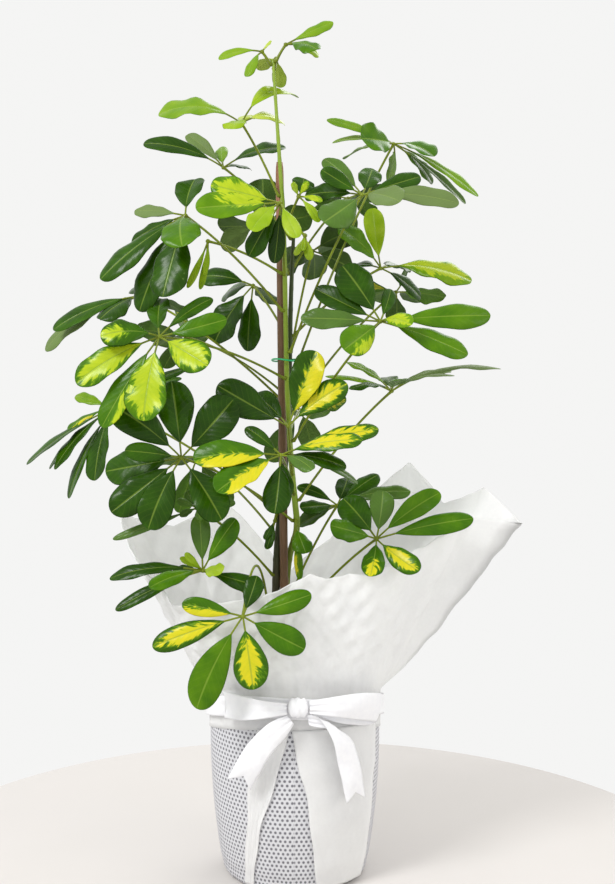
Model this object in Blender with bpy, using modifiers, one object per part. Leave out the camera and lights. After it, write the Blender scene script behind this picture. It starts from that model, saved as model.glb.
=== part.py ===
"""Potted umbrella plant: variegated leaves on two stems, a cane, a pot and its gift wrap.

Metres, +Z up. The origin is at the centre of the wrapped pot's underside. -Y is the front,
where the bow is, and +X is the right.
"""

import bpy
import bmesh
import numpy as np
from math import cos, pi, radians, sin
from mathutils import Matrix, Vector

MM = 0.001
GAP = 0.0004  # left between pieces that touch

# The pot and its dotted paper
WRAP_WALL = 0.0010
WRAP_PROFILE = ((0.084, 0.168), (0.084, 0.120), (0.081, 0.070), (0.075, 0.024), (0.071, 0.004))
WRAP_BASE_RADIUS = 0.067
POT_WALL = 0.0018
POT_BASE_RADIUS = 0.060
POT_TOP_RADIUS = 0.079
POT_FLOOR = 0.0016
POT_TOP = 0.160
POT_RIM_OUT = 0.0035
POT_RIM_DEPTH = 0.010
DRAIN_HOLES = 4
DRAIN_RADIUS = 0.005
DRAIN_CIRCLE = 0.036
DRAIN_CUT = 0.012  # length of a drain hole's cutter
SOIL_TOP = 0.138
SOIL_DOME = (0.003, 0.002, -0.003)  # above SOIL_TOP at the middle, part way out and at the edge
SOIL_SHOULDER = 0.6  # share of the radius at the part way point
POCKET_BELOW = 0.005  # how far a stem's pocket goes below its foot

# The tissue paper and the ribbon
TISSUE_WALL = 0.0012
NECK_RADIUS = 0.0845
NECK_BELOW_BAND = 0.022
NECK_ABOVE_BAND = 0.015
COLLAR_ROWS = ((0.14, 0.18), (0.42, 0.46), (0.72, 0.74), (1.0, 1.0))  # share of the height, of the spread
FLAP_TOP = 0.158
FLAP_BOTTOM = 0.004
FLAP_ROWS = 6
# Bearings of each flap's edges at the top and at the bottom, and its columns
FLAPS = {"flap_left": ((-24, -3), (-40, -33), 3), "flap_right": ((-1, 66), (18, 62), 7)}
BAND_WALL = 0.0010
BAND_WIDTH = 0.018
BAND_MIDDLE = 0.162
BAND_TILT = 0.018  # the front of the band is this much higher than its middle
RIBBON_WALL = 0.0009
KNOT_CENTRE = (0.004, -0.0975, 0.183)
KNOT_HALF_SIZE = (0.009, 0.0062, 0.009)

# Each strip of the bow: points along it, the direction of its width there, and the widths, in mm
STRIPS = {
    "bow_loop_left": (
        ((-6.5, -100, 182), (-30, -101, 182), (-50, -91, 181), (-66, -71, 179), (-59, -71.5, 178),
         (-36, -89, 179), (-7, -94.5, 181)),
        ((0, 0, 1),) * 7,
        (11, 17, 23, 25, 23, 17, 11)),
    "bow_loop_right": (
        ((14.5, -100, 184), (38, -98, 184), (62, -82, 180), (80, -56, 172), (72, -57, 168),
         (44, -84, 174), (15, -94.5, 182)),
        ((0, 0, 1), (0.1, 0, 1), (0.2, 0, 1), (0.3, 0, 1), (0.3, 0, 1), (0.2, 0, 1), (0, 0, 1)),
        (11, 19, 26, 28, 26, 18, 11)),
    "ribbon_tail_left": (
        ((-3, -98.5, 172), (-15, -100, 163), (-31, -98, 146), (-42, -95, 128), (-51, -91, 110)),
        ((0.8, 0.05, -1), (1, 0.05, -0.9), (1, 0.1, -0.8), (1, 0.1, -0.6), (1, 0.1, -0.55)),
        (10, 20, 23, 24, 24)),
    "ribbon_tail_right": (
        ((13, -98, 172), (32, -93.5, 166), (45, -88, 150), (51, -83, 128), (55, -79, 108), (58, -75, 90)),
        ((0.2, 0, -1), (0.8, 0.4, -0.6), (1, 0.6, -0.2), (1, 0.7, 0), (1, 0.75, 0), (1, 0.8, 0)),
        (10, 20, 23, 24, 24, 24)),
}

# Collar rim: bearing round the pot in degrees (0 front, 90 right), radius and height
COLLAR_RIM = (
    (8, 0.099, 0.308),
    (18, 0.095, 0.301),
    (41, 0.099, 0.303),
    (75, 0.132, 0.325),
    (87, 0.174, 0.350),
    (90, 0.227, 0.342),
    (93, 0.192, 0.378),
    (111, 0.165, 0.356),
    (134, 0.172, 0.396),
    (162, 0.120, 0.312),
    (186, 0.096, 0.276),
    (214, 0.132, 0.352),
    (240, 0.150, 0.330),
    (268, 0.176, 0.352),
    (288, 0.160, 0.312),
    (306, 0.138, 0.276),
    (334, 0.114, 0.282),
    (352, 0.104, 0.292),
)

# The cane and the stems: points up each one, and its radius
CANE_RADIUS = 0.0042
CANE = ((-0.008, 0.0, 0.020), (-0.0155, 0.0, 0.703))
STEM_TALL = (
    (-12, 10, 100), (-11, 10.5, 230), (-7, 10, 300), (1.5, 2, 335), (0, -7, 365), (-4, -9.6, 410),
    (-8, -9.4, 490), (-11, -9.2, 635), (-15, -9.0, 700), (-19, -5, 760), (-22, -3, 806),
)
STEM_SECOND = (
    (-22, 0, 100), (-20, 2, 230), (-18, 5, 310), (-13, 10, 370), (-7, 10.5, 440),
    (-5, 10.5, 540), (-3, 11, 600), (-1, 14, 640),
)
STEM_TALL_RADIUS = (0.0040, 0.0014)
STEM_SECOND_RADIUS = (0.0046, 0.0016)
TIE_RADIUS = 0.0009
TIE_CENTRE = (-0.0095, 0.0010, 0.505)
TIE_HALF_SIZE = (0.0135, 0.0175, 0.001)
TIE_OPEN = 0.25  # radians left open on each side of the ring's ends
TIE_END = ((0.0205, 0.002, 0.002), (0.0270, -0.001, -0.001))  # from TIE_CENTRE

PETIOLE_RADIUS = 0.0013
PETIOLE_BULGE = 0.05  # of its length, upwards
ARCHED_PETIOLES = {"leaf_front_low": 0.50}  # this one arches over the collar's rim
HUB_RADIUS = 0.0030
STALK_RADIUS = 0.0009
BLADE_HALF_THICKNESS = 0.0007
STALK_SHARE = 0.20  # of a leaflet's length, up to where the blade starts
LONG_LEAFLET = 0.075  # from this length on, a leaflet has one ring more
# Along a leaflet, by its number of rings: share of the length, and share of the width where the blade is
BLADE_RINGS = {5: ((0.42, 0.74), (0.64, 1.0), (0.86, 0.68)), 4: ((0.58, 1.0), (0.84, 0.72))}

# Each leaf: its stem, the height of its root on it, its hub, the bearing and the rise of its
# upper side, and its leaflets as (right, back, up, width, bend in degrees), all in millimetres
LEAVES = {
    "leaf_crown_left": ("tall", 800, (-33, -2, 813), (-30, 35), (
        (-43, -6, -9, 13, 50), (-14, -20, -30, 13, 40), (9, 3, 12, 6, 10))),
    "leaf_crown_right": ("tall", 803, (-9, -6, 819), (15, 30), (
        (47, 2, 23, 15, 25), (31, -26, -12, 26, 35), (33, 22, -5, 15, 60))),
    "leaf_crown_back": ("tall", 796, (-19, 6, 808), (150, 50), (
        (3, 22, -24, 17, 45), (-20, 28, -4, 14, 40))),
    "leaf_top_left": ("tall", 668, (-53, -10, 740), (-20, 40), (
        (-81, -12, 6, 32, 90), (-6, -30, -12, 24, 60), (8, 30, 14, 18, 30),
        (54, 46, 36, 26, 110), (41, 32, 6, 24, 80))),
    "leaf_upper_left": ("second", 628, (-74, 38, 704), (-15, 42), (
        (-82, -4, 24, 22, 45), (-40, 22, 38, 16, 15), (-4, 34, 28, 14, 20),
        (64, 6, 22, 26, 50), (22, 42, 6, 22, 30))),
    "leaf_left_shoulder": ("tall", 554, (-104, -58, 642), (-15, 35), (
        (6, 34, 40, 30, 20), (-52, 26, 8, 16, 30), (-53, 12, -24, 18, 20), (-79, -12, -62, 30, 20),
        (-43, -6, -92, 33, 20), (-18, -32, -80, 38, 20), (3, -58, -36, 38, 40))),
    "leaf_young_left": ("tall", 591, (-85, -26, 621), (0, 10), (
        (-3, -4, -33, 6, 8), (-8, 3, -47, 7, 8), (-20, -2, -46, 7, 8))),
    "leaf_front_upper": ("tall", 590, (-13, -72, 652), (0, 25), (
        (-65, -8, 16, 30, 25), (-78, -22, -8, 32, 20), (-26, -32, -30, 22, 20),
        (16, -26, -36, 16, 15), (-30, 6, -50, 22, 20), (-6, 10, -56, 16, 20))),
    "leaf_young_front": ("tall", 632, (4, -38, 663), (10, 25), (
        (23, -4, -5, 8, 15), (20, -10, -26, 10, 15), (9, -6, 14, 7, 10), (-6, -6, 13, 7, 10),
        (5, 14, 20, 23, 20))),
    "leaf_back_upper": ("second", 592, (-39, 52, 646), (170, 40), (
        (4, 20, 52, 38, 20), (-38, -6, -23, 26, 20), (56, -24, 8, 32, 25), (10, 66, 4, 30, 30),
        (-44, 44, 4, 28, 25))),
    "leaf_back_centre": ("second", 513, (18, 76, 622), (-170, 30), (
        (-30, -34, -20, 30, 20), (42, -22, -22, 30, 20), (42, -32, 16, 34, 25), (34, 60, 8, 30, 25),
        (-30, 60, -6, 30, 25), (2, 72, -24, 30, 25))),
    "leaf_young_centre": ("tall", 640, (10, -14, 628), (0, 10), (
        (-10, -4, -20, 7, 8), (5, -6, -25, 9, 8), (-2, -8, -16, 6, 8))),
    "leaf_upper_centre_left": ("second", 528, (-44, 46, 583), (-15, 35), (
        (-56, 12, 10, 28, 45), (-39, -10, -60, 38, 20), (-6, 6, -68, 26, 20), (20, 62, -16, 28, 25),
        (-34, 58, -6, 28, 25))),
    "leaf_left_middle": ("tall", 487, (-124, -97, 525), (-8, 22), (
        (62, -2, 16, 21, 45), (47, 24, 37, 14, 30), (-3, 36, 37, 22, 15), (-52, -16, 0, 28, 50),
        (-74, -16, -43, 28, 15), (-51, -14, -83, 26, 15), (-12, -22, -77, 40, 15),
        (47, -30, -27, 32, 20))),
    "leaf_far_left_upper": ("second", 462, (-160, 40, 572), (-35, 42), (
        (-100, 8, -56, 28, 55), (-86, -20, -36, 26, 45), (-36, -34, -26, 32, 25), (-8, 36, 13, 24, 20),
        (40, 52, -16, 26, 25), (-46, 58, -20, 26, 25))),
    "leaf_far_left_lower": ("second", 352, (-188, 34, 456), (-40, 50), (
        (-42, 24, 13, 14, 35), (-90, 8, -58, 20, 25), (-72, 34, -64, 18, 25), (-58, -8, -62, 20, 25),
        (-44, -6, -92, 24, 25), (-13, -30, -72, 32, 25), (-38, -40, -20, 12, 20),
        (78, 32, 43, 18, 30), (70, 12, 31, 14, 30))),
    "leaf_left_low_front": ("tall", 345, (-106, -76, 412), (0, 15), (
        (-10, 8, 72, 36, 15), (-65, -8, 50, 33, 15), (-50, -22, 8, 18, 30), (-74, 16, -14, 34, 20),
        (-64, -12, -50, 32, 15), (-29, -16, -65, 33, 15), (39, -14, -57, 33, 20),
        (49, 0, 55, 38, 20))),
    "leaf_small_left": ("second", 290, (-93, -58, 363), (0, 30), (
        (-78, -14, -28, 9, 25), (-18, -8, 8, 8, 15), (-10, 6, 16, 10, 15), (-15, -10, -7, 8, 15),
        (5, -12, -10, 8, 15), (36, 12, 4, 9, 20))),
    "leaf_centre_front": ("tall", 372, (-12, -102, 416), (0, 45), (
        (-79, -16, -2, 30, 55), (-56, -42, -30, 32, 30), (90, 2, 24, 24, 40), (74, -22, 15, 22, 40),
        (60, -6, -11, 18, 35), (29, -34, -11, 16, 25), (72, 26, -28, 12, 40),
        (-5, -26, -51, 26, 15), (6, -8, -38, 16, 15), (-33, 12, 25, 14, 20))),
    "leaf_centre_upright": ("tall", 392, (-6, -58, 441), (0, 30), (
        (-67, -8, 39, 34, 55), (26, 2, 72, 32, 15), (56, -4, 41, 26, 15), (-34, 34, 30, 24, 25))),
    "leaf_right_middle": ("tall", 425, (82, -58, 541), (10, 25), (
        (-36, 10, 54, 36, 20), (-62, 16, 32, 22, 25), (-76, -4, 3, 22, 30), (-36, -36, -28, 30, 25),
        (27, -34, -5, 20, 50), (106, 6, 6, 26, 55), (82, -12, -32, 26, 40), (12, 30, 33, 14, 15))),
    "leaf_right_level": ("tall", 366, (95, -22, 474), (0, 80), (
        (108, 2, 22, 20, 50), (62, 34, 21, 18, 40), (58, -34, 15, 18, 45), (-43, 24, 29, 18, 40),
        (-65, 6, 15, 18, 35), (-42, -30, 2, 16, 60), (-2, 52, 14, 20, 25), (8, -56, 12, 20, 25))),
    "leaf_right_top": ("second", 488, (103, 62, 733), (30, 32), (
        (-70, 12, 28, 14, 25), (-36, -40, -2, 36, 30), (-64, 26, 6, 12, 40), (-50, 46, -8, 24, 35),
        (-4, 50, -32, 34, 30), (40, -26, -18, 32, 40), (42, 12, -40, 22, 30), (88, -6, -56, 18, 25),
        (78, 20, -60, 14, 25))),
    "leaf_right_upper": ("tall", 513, (66, -28, 666), (0, 32), (
        (-37, 26, 40, 20, 15), (-40, 2, 25, 20, 15), (-38, -34, -31, 34, 20), (12, 36, 32, 24, 15),
        (58, 12, 20, 21, 25), (94, -6, -9, 22, 30), (34, -44, -13, 32, 30), (-56, 30, 4, 22, 20))),
    "leaf_right_bright": ("second", 530, (88, 36, 600), (5, 45), (
        (92, -12, -14, 36, 60), (43, 20, -29, 22, 25), (-8, 16, 64, 22, 20), (-44, -14, 41, 32, 20),
        (30, 66, 4, 26, 30), (-30, 62, 6, 26, 30))),
    "leaf_low_right_small": ("tall", 268, (43, 27, 357), (-10, 50), (
        (-41, 6, 19, 14, 35), (12, 36, 26, 22, 15), (74, -10, 15, 20, 30), (43, 22, 30, 22, 25),
        (-38, -16, -1, 20, 20), (-40, -4, -20, 20, 25), (-28, 24, -12, 16, 15))),
    "leaf_low_right": ("tall", 236, (79, -46, 332), (0, 30), (
        (62, 8, 44, 22, 15), (93, -2, 20, 22, 25), (38, -34, -26, 22, 25), (-8, -40, -30, 22, 20),
        (-45, -18, 15, 24, 20), (-32, 12, 38, 30, 15), (7, 16, 45, 24, 15), (-26, 36, 38, 20, 20))),
    "leaf_low_left": ("second", 250, (-87, -62, 304), (-10, 45), (
        (-4, 8, 53, 19, 15), (32, -8, 50, 24, 15), (-88, -4, -7, 16, 50), (-80, -20, -34, 14, 30),
        (-46, -38, -10, 20, 35), (-16, -12, 18, 8, 15), (-22, 4, 12, 7, 15), (20, -26, 2, 18, 30),
        (59, -14, -14, 18, 35), (-32, 20, -6, 14, 25))),
    "leaf_front_low": ("second", 212, (-46, -118, 271), (-5, 18), (
        (-55, -2, 12, 17, 15), (-81, -8, -26, 22, 15), (-42, 1, -84, 32, 15), (10, -10, -64, 32, 15),
        (56, -8, -28, 26, 20), (62, 0, 20, 20, 20), (12, 18, 34, 18, 15))),
    "leaf_base_right": ("tall", 345, (1, -9, 340), (10, 30), (
        (10, -22, -24, 20, 25), (4, -10, -52, 9, 10))),
    "leaf_base_left": ("second", 352, (-20, 3, 344), (-30, 30), (
        (-10, -8, -18, 9, 15), (-8, -12, -27, 10, 15))),
    "leaf_back_high": ("second", 600, (56, 92, 680), (175, 45), (
        (44, 28, 8, 26, 30), (14, 52, 2, 28, 30), (-34, 38, 0, 26, 30), (-38, -4, -16, 22, 25),
        (30, -14, -26, 22, 25), (0, 44, -36, 26, 30))),
    "leaf_back_left": ("second", 470, (-120, 108, 532), (200, 40), (
        (-56, 22, 8, 28, 30), (-36, 54, -8, 28, 30), (20, 58, 0, 28, 30), (-8, 34, 34, 24, 30),
        (-26, 20, -34, 22, 25))),
    "leaf_back_middle": ("second", 420, (4, 128, 452), (180, 40), (
        (-60, 20, 8, 28, 30), (-30, 58, -4, 30, 30), (30, 58, -8, 30, 30), (52, 18, 10, 28, 30),
        (-34, -6, -56, 28, 20), (12, 22, -44, 26, 20))),
    "leaf_back_low_left": ("second", 330, (-106, 92, 402), (210, 40), (
        (-60, 20, -10, 26, 30), (-30, 56, -12, 28, 30), (28, 58, -4, 28, 30), (62, 14, 6, 24, 30),
        (-20, 4, -60, 26, 20), (34, 26, -54, 26, 25))),
    "leaf_back_right": ("second", 452, (108, 100, 580), (150, 40), (
        (56, 26, -4, 26, 30), (30, 56, -8, 28, 30), (-26, 56, -4, 28, 30), (-54, 10, 8, 24, 30),
        (14, 30, 32, 24, 25), (2, 34, -34, 24, 25))),
}


def unit(vector):
    return vector / np.linalg.norm(vector)


def material(name, colour, roughness, metallic=0.0):
    found = bpy.data.materials.new(name)
    found.use_nodes = True
    shader = found.node_tree.nodes["Principled BSDF"]
    shader.inputs["Base Color"].default_value = (*colour, 1.0)
    shader.inputs["Roughness"].default_value = roughness
    shader.inputs["Metallic"].default_value = metallic
    return found


def add_object(name, mesh, look, collection):
    thing = bpy.data.objects.new(name, mesh)
    collection.objects.link(thing)
    if look:
        mesh.materials.clear()
        mesh.materials.append(look)
    return thing


def add_modifier(thing, kind, **settings):
    modifier = thing.modifiers.new(kind.title(), kind)
    for key, value in settings.items():
        setattr(modifier, key, value)
    return modifier


def freeze(thing, merge=0.00001):
    """Replaces the object by a plain mesh of what its modifiers or its curve make."""
    bpy.context.view_layer.update()
    graph = bpy.context.evaluated_depsgraph_get()
    mesh = bpy.data.meshes.new_from_object(thing.evaluated_get(graph))
    shape = bmesh.new()
    shape.from_mesh(mesh)
    bmesh.ops.remove_doubles(shape, verts=shape.verts, dist=merge)
    shape.to_mesh(mesh)
    shape.free()
    name = thing.name
    look = thing.active_material
    collection = thing.users_collection[0]
    matrix = thing.matrix_world.copy()
    bpy.data.objects.remove(thing)
    fresh = add_object(name, mesh, look, collection)
    fresh.matrix_world = matrix
    return fresh


def add_tube(name, points, radii, look, collection, resolution=1):
    """A round tube through the points, with closed ends. radii is one value for each point."""
    data = bpy.data.curves.new(name, "CURVE")
    data.dimensions = "3D"
    data.bevel_depth = 1.0
    data.bevel_resolution = resolution
    data.use_fill_caps = True
    spline = data.splines.new("POLY")
    spline.points.add(len(points) - 1)
    for slot, point, radius in zip(spline.points, points, radii):
        slot.co = (*point, 1.0)
        slot.radius = radius
    tube = bpy.data.objects.new(name, data)
    collection.objects.link(tube)
    data.materials.append(look)
    return freeze(tube)


def add_turned(name, profile, steps, look, collection):
    """A surface turned from a profile of (radius, height) points."""
    mesh = bpy.data.meshes.new(name)
    corners = [(radius, 0.0, height) for radius, height in profile]
    edges = [(i, i + 1) for i in range(len(corners) - 1)]
    mesh.from_pydata(corners, edges, [])
    thing = add_object(name, mesh, look, collection)
    add_modifier(thing, "SCREW", axis="Z", steps=steps, render_steps=steps, angle=2 * pi,
                 use_merge_vertices=True, merge_threshold=0.0001)
    return thing


def add_grid(name, points, look, collection, wraps=False):
    """A surface through a grid of points, rows by columns. wraps joins the last column to the first."""
    rows, columns = points.shape[:2]
    ahead = np.arange(columns if wraps else columns - 1)
    faces = []
    for row in range(rows - 1):
        for column in ahead:
            after = (column + 1) % columns
            faces.append((row * columns + column, row * columns + after,
                          (row + 1) * columns + after, (row + 1) * columns + column))
    mesh = bpy.data.meshes.new(name)
    mesh.from_pydata([tuple(point) for point in points.reshape(-1, 3)], [], faces)
    return add_object(name, mesh, look, collection)


def join_by_union(name, first, others):
    """One closed solid out of several that overlap."""
    for other in others:
        add_modifier(first, "BOOLEAN", operation="UNION", object=other)
    solid = freeze(first)
    for other in others:
        bpy.data.objects.remove(other)
    solid.name = name
    return solid


def cut_away(thing, cutters, collection):
    for cutter in cutters:
        for holder in cutter.users_collection:
            holder.objects.unlink(cutter)
        collection.objects.link(cutter)
        cutter.hide_render = True
        cutter.display_type = "WIRE"
        add_modifier(thing, "BOOLEAN", operation="DIFFERENCE", object=cutter)


# ---- Stems and cane ----

def along(points, heights):
    """Where a stem's centre is at the given heights."""
    table = np.array(points, float)
    return np.array([[np.interp(height, table[:, 2], table[:, axis]) for axis in range(3)]
                     for height in heights])


def smooth_path(points, count):
    """A smooth curve through the points, with count points on it."""
    table = np.array(points, float)
    knots = np.arange(len(table), dtype=float)
    slopes = np.gradient(table, axis=0)
    found = []
    for place in np.linspace(0, len(table) - 1, count):
        start = min(int(place), len(table) - 2)
        t = place - knots[start]
        found.append((2 * t**3 - 3 * t**2 + 1) * table[start] + (t**3 - 2 * t**2 + t) * slopes[start]
                     + (3 * t**2 - 2 * t**3) * table[start + 1] + (t**3 - t**2) * slopes[start + 1])
    return np.array(found)


def add_stem(name, points, radii, look, collection):
    path = smooth_path(points, 2 * len(points) - 1) * MM
    widths = np.linspace(*radii, len(path))
    return add_tube(name, path, widths, look, collection, resolution=2)


def add_cane(look, collection):
    ends = np.array(CANE)
    return add_tube("support_cane", ends, [CANE_RADIUS] * 2, look, collection, resolution=2)


def add_tie(look, collection):
    """A wire tie that goes once round the cane and the tall stem, with a twisted end on the right."""
    middle = np.array(TIE_CENTRE)
    size = np.array(TIE_HALF_SIZE)
    ring = [middle + size * (cos(angle), sin(angle), sin(2 * angle))
            for angle in np.linspace(TIE_OPEN, 2 * pi - TIE_OPEN, 17)]
    near, far = middle + TIE_END[0], middle + TIE_END[1]
    loop = add_tube("cane_tie", np.array(ring + [near]), [TIE_RADIUS] * 18, look, collection)
    end = add_tube("tie_end", np.array([ring[0], near, far]), [TIE_RADIUS * 1.2] * 3, look, collection)
    return join_by_union("cane_tie", loop, [end])


# ---- Leaves ----

def leaf_normal(direction, face):
    """The upper side's direction on a leaflet that points along direction."""
    return unit(face - face.dot(direction) * direction)


def face_vector(bearing, rise):
    return np.array([sin(radians(bearing)) * cos(radians(rise)),
                     -cos(radians(bearing)) * cos(radians(rise)), sin(radians(rise))])


def add_leaflet(shape, hub, leaflet, face):
    """A leaflet made from a four-sided sphere: rings of it become stations along an arched blade."""
    reach = np.array(leaflet[:3]) * MM
    half_width = leaflet[3] * MM / 2
    bend = radians(leaflet[4])
    length = np.linalg.norm(reach)
    direction = reach / length
    normal = leaf_normal(direction, face)
    side = np.cross(direction, normal)
    rings = 5 if length > LONG_LEAFLET else 4
    # Share of the length, half width and half thickness at each ring, from pole to pole
    blade = [(share, wide * half_width, BLADE_HALF_THICKNESS) for share, wide in BLADE_RINGS[rings]]
    stations = [(0, 0, 0), (STALK_SHARE, STALK_RADIUS, STALK_RADIUS), *blade, (1, 0, 0)]
    made = bmesh.ops.create_uvsphere(shape, u_segments=4, v_segments=rings, radius=1.0)
    for vert in made["verts"]:
        ring = round((pi - np.arccos(np.clip(vert.co.z, -1, 1))) / pi * rings)
        share, width, thickness = stations[ring]
        angle = bend * (share - 0.5)
        arch = (cos(angle) - cos(bend / 2)) / max(bend, 0.01) * length
        across = Vector((vert.co.x, vert.co.y))
        across = across.normalized() if across.length > 0.001 else across
        vert.co = (hub + direction * (0.0006 + share * length) + normal * arch
                   + side * across.x * width + normal * across.y * thickness)


def petiole_path(start, hub, bulge):
    """A gentle arc from the stem to the hub."""
    lift = np.array([0, 0, bulge * np.linalg.norm(hub - start)])
    return np.array([start + t * (hub - start) + 4 * t * (1 - t) * lift for t in np.linspace(0, 1, 5)])


def add_leaf(name, spec, stems, look, collection):
    stem, root, hub, facing, leaflets = spec
    points, radii = stems[stem]
    hub = np.array(hub) * MM
    centre = along(points, [root])[0] * MM
    outward = (hub - centre) * (1, 1, 0)
    rise = (root - points[0][2]) / (points[-1][2] - points[0][2])
    stem_radius = radii[0] + (radii[1] - radii[0]) * rise
    start = centre + unit(outward) * (stem_radius + PETIOLE_RADIUS + GAP)
    path = petiole_path(start, hub, ARCHED_PETIOLES.get(name, PETIOLE_BULGE))
    petiole = add_tube(name, path, [PETIOLE_RADIUS] * len(path), look, collection)

    ball = bmesh.new()
    bmesh.ops.create_icosphere(ball, subdivisions=1, radius=HUB_RADIUS, matrix=Matrix.Translation(hub))
    ball_mesh = bpy.data.meshes.new(name)
    ball.to_mesh(ball_mesh)
    ball.free()
    hub_ball = add_object(name + "_hub", ball_mesh, look, collection)

    blades = []
    for number, leaflet in enumerate(leaflets):
        shape = bmesh.new()
        add_leaflet(shape, hub, leaflet, face_vector(*facing))
        bmesh.ops.recalc_face_normals(shape, faces=shape.faces)
        mesh = bpy.data.meshes.new(f"{name}_{number}")
        shape.to_mesh(mesh)
        shape.free()
        blades.append(add_object(mesh.name, mesh, look, collection))
    return join_by_union(name, petiole, [hub_ball] + blades)


# ---- Pot, soil and wraps ----

def add_pot(look, collection, cutters):
    """A tapered plastic nursery pot with a rolled rim and drain holes."""
    floor = WRAP_WALL + GAP
    rim = POT_TOP_RADIUS + POT_RIM_OUT
    profile = ((rim, POT_TOP), (rim, POT_TOP - POT_RIM_DEPTH), (POT_TOP_RADIUS, POT_TOP - POT_RIM_DEPTH),
               (POT_BASE_RADIUS, floor), (0.0, floor), (0.0, floor + POT_FLOOR),
               (POT_BASE_RADIUS - POT_WALL, floor + POT_FLOOR), (POT_TOP_RADIUS - POT_WALL, POT_TOP),
               (rim, POT_TOP))
    pot = add_turned("nursery_pot", profile, 24, look, collection)
    holes = []
    for number in range(DRAIN_HOLES):
        angle = 2 * pi * (number + 0.5) / DRAIN_HOLES
        hole = bmesh.new()
        place = Matrix.Translation((DRAIN_CIRCLE * cos(angle), DRAIN_CIRCLE * sin(angle), floor))
        bmesh.ops.create_cone(hole, cap_ends=True, segments=10, radius1=DRAIN_RADIUS,
                              radius2=DRAIN_RADIUS, depth=DRAIN_CUT, matrix=place)
        mesh = bpy.data.meshes.new(f"drain_cutter_{number}")
        hole.to_mesh(mesh)
        hole.free()
        holes.append(add_object(mesh.name, mesh, None, collection))
    cut_away(pot, holes, cutters)
    return pot


def add_soil(look, collection, cutters):
    """The root ball, with a pocket round the cane and round each stem."""
    floor = WRAP_WALL + POT_FLOOR + 3 * GAP
    slope = (POT_TOP_RADIUS - POT_BASE_RADIUS) / (POT_TOP - floor)
    bottom = POT_BASE_RADIUS - POT_WALL - 2 * GAP
    top = bottom + slope * (SOIL_TOP - floor)
    middle, part_way, edge = (SOIL_TOP + dome for dome in SOIL_DOME)
    profile = ((0.0, middle), (top * SOIL_SHOULDER, part_way), (top - 2 * GAP, edge), (bottom, floor),
               (0.0, floor))
    soil = add_turned("potting_soil", profile, 24, look, collection)
    pockets = []
    for name, points, radius in (("cane_cutter", np.array(CANE), CANE_RADIUS),
                                 ("tall_cutter", np.array(STEM_TALL[:2]) * MM, STEM_TALL_RADIUS[0]),
                                 ("second_cutter", np.array(STEM_SECOND[:2]) * MM, STEM_SECOND_RADIUS[0])):
        foot = np.array(points, float)
        foot[0, 2] -= POCKET_BELOW
        pockets.append(add_tube(name, foot, [radius + 2 * GAP] * 2, look, collection, resolution=2))
    cut_away(soil, pockets, cutters)
    return soil


def add_dotted_wrap(look, collection):
    profile = WRAP_PROFILE + ((WRAP_BASE_RADIUS, 0.0), (0.0, 0.0))
    wrap = add_turned("dotted_wrap", profile, 32, look, collection)
    add_modifier(wrap, "SOLIDIFY", thickness=WRAP_WALL, offset=-1.0)
    return wrap


def rim_at(bearings):
    """Radius and height of the collar's rim, smooth and closed round the pot."""
    table = np.array(COLLAR_RIM, float)
    keys = np.concatenate([table[:, 0] - 360, table[:, 0], table[:, 0] + 360])
    found = []
    for column in (1, 2):
        values = np.tile(table[:, column], 3)
        found.append(np.interp(bearings, keys, values))
    return found


def around(bearings, radius, height):
    angle = np.radians(bearings)
    return np.stack([radius * np.sin(angle), -radius * np.cos(angle),
                     np.broadcast_to(height, angle.shape)], axis=-1)


def add_tissue_wrap(look, collection):
    """The open collar, and the two flaps that hang from it in front."""
    bearings = np.arange(0, 360, 10.0)
    rim_radius, rim_height = rim_at(bearings)
    neck = band_height(bearings)
    start = neck + NECK_ABOVE_BAND
    rows = [around(bearings, NECK_RADIUS, neck - NECK_BELOW_BAND), around(bearings, NECK_RADIUS, start)]
    for share, out in COLLAR_ROWS:
        rows.append(around(bearings, NECK_RADIUS + out * (rim_radius - NECK_RADIUS),
                           start + share * (rim_height - start)))
    collar = add_grid("tissue_wrap", np.array(rows), look, collection, wraps=True)
    add_modifier(collar, "SOLIDIFY", thickness=TISSUE_WALL, offset=1.0)

    flaps = []
    for name, (top, bottom, columns) in FLAPS.items():
        rows = []
        for share in np.linspace(1, 0, FLAP_ROWS):
            edges = np.array(top) + share * (np.array(bottom) - np.array(top))
            height = FLAP_TOP + share * (FLAP_BOTTOM - FLAP_TOP)
            radius = NECK_RADIUS + TISSUE_WALL / 2 - wrap_taper(height)
            rows.append(around(np.linspace(*edges, columns), radius, height))
        flap = add_grid(name, np.array(rows), look, collection)
        add_modifier(flap, "SOLIDIFY", thickness=TISSUE_WALL, offset=1.0)
        flaps.append(freeze(flap))
    return join_by_union("tissue_wrap", freeze(collar), flaps)


def wrap_taper(height):
    """How much narrower than its top the dotted wrap is at this height."""
    radii, heights = np.array(WRAP_PROFILE[::-1]).T
    return radii[-1] - np.interp(height, heights, radii)


def band_height(bearings):
    return BAND_MIDDLE + BAND_TILT * np.cos(np.radians(bearings))


def add_ribbon_band(look, collection):
    bearings = np.arange(0, 360, 10.0)
    radius = NECK_RADIUS + TISSUE_WALL * 2 + GAP * 2
    middle = band_height(bearings)
    rows = [around(bearings, radius, middle + offset)
            for offset in (-BAND_WIDTH / 2, BAND_WIDTH / 2)]
    band = add_grid("ribbon_band", np.array(rows), look, collection, wraps=True)
    add_modifier(band, "SOLIDIFY", thickness=BAND_WALL, offset=1.0)
    return band


def add_strip(name, strip, look, collection):
    """A flat ribbon along a path, with its width in the given direction at each point."""
    points, directions, widths = strip
    path = np.array(points) * MM
    across = np.array([unit(np.array(row, float)) for row in directions])
    half = np.array(widths)[:, None] * MM / 2
    sheet = add_grid(name, np.stack([path - across * half, path + across * half], axis=1), look, collection)
    add_modifier(sheet, "SOLIDIFY", thickness=RIBBON_WALL, offset=0.0)
    return sheet


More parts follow.
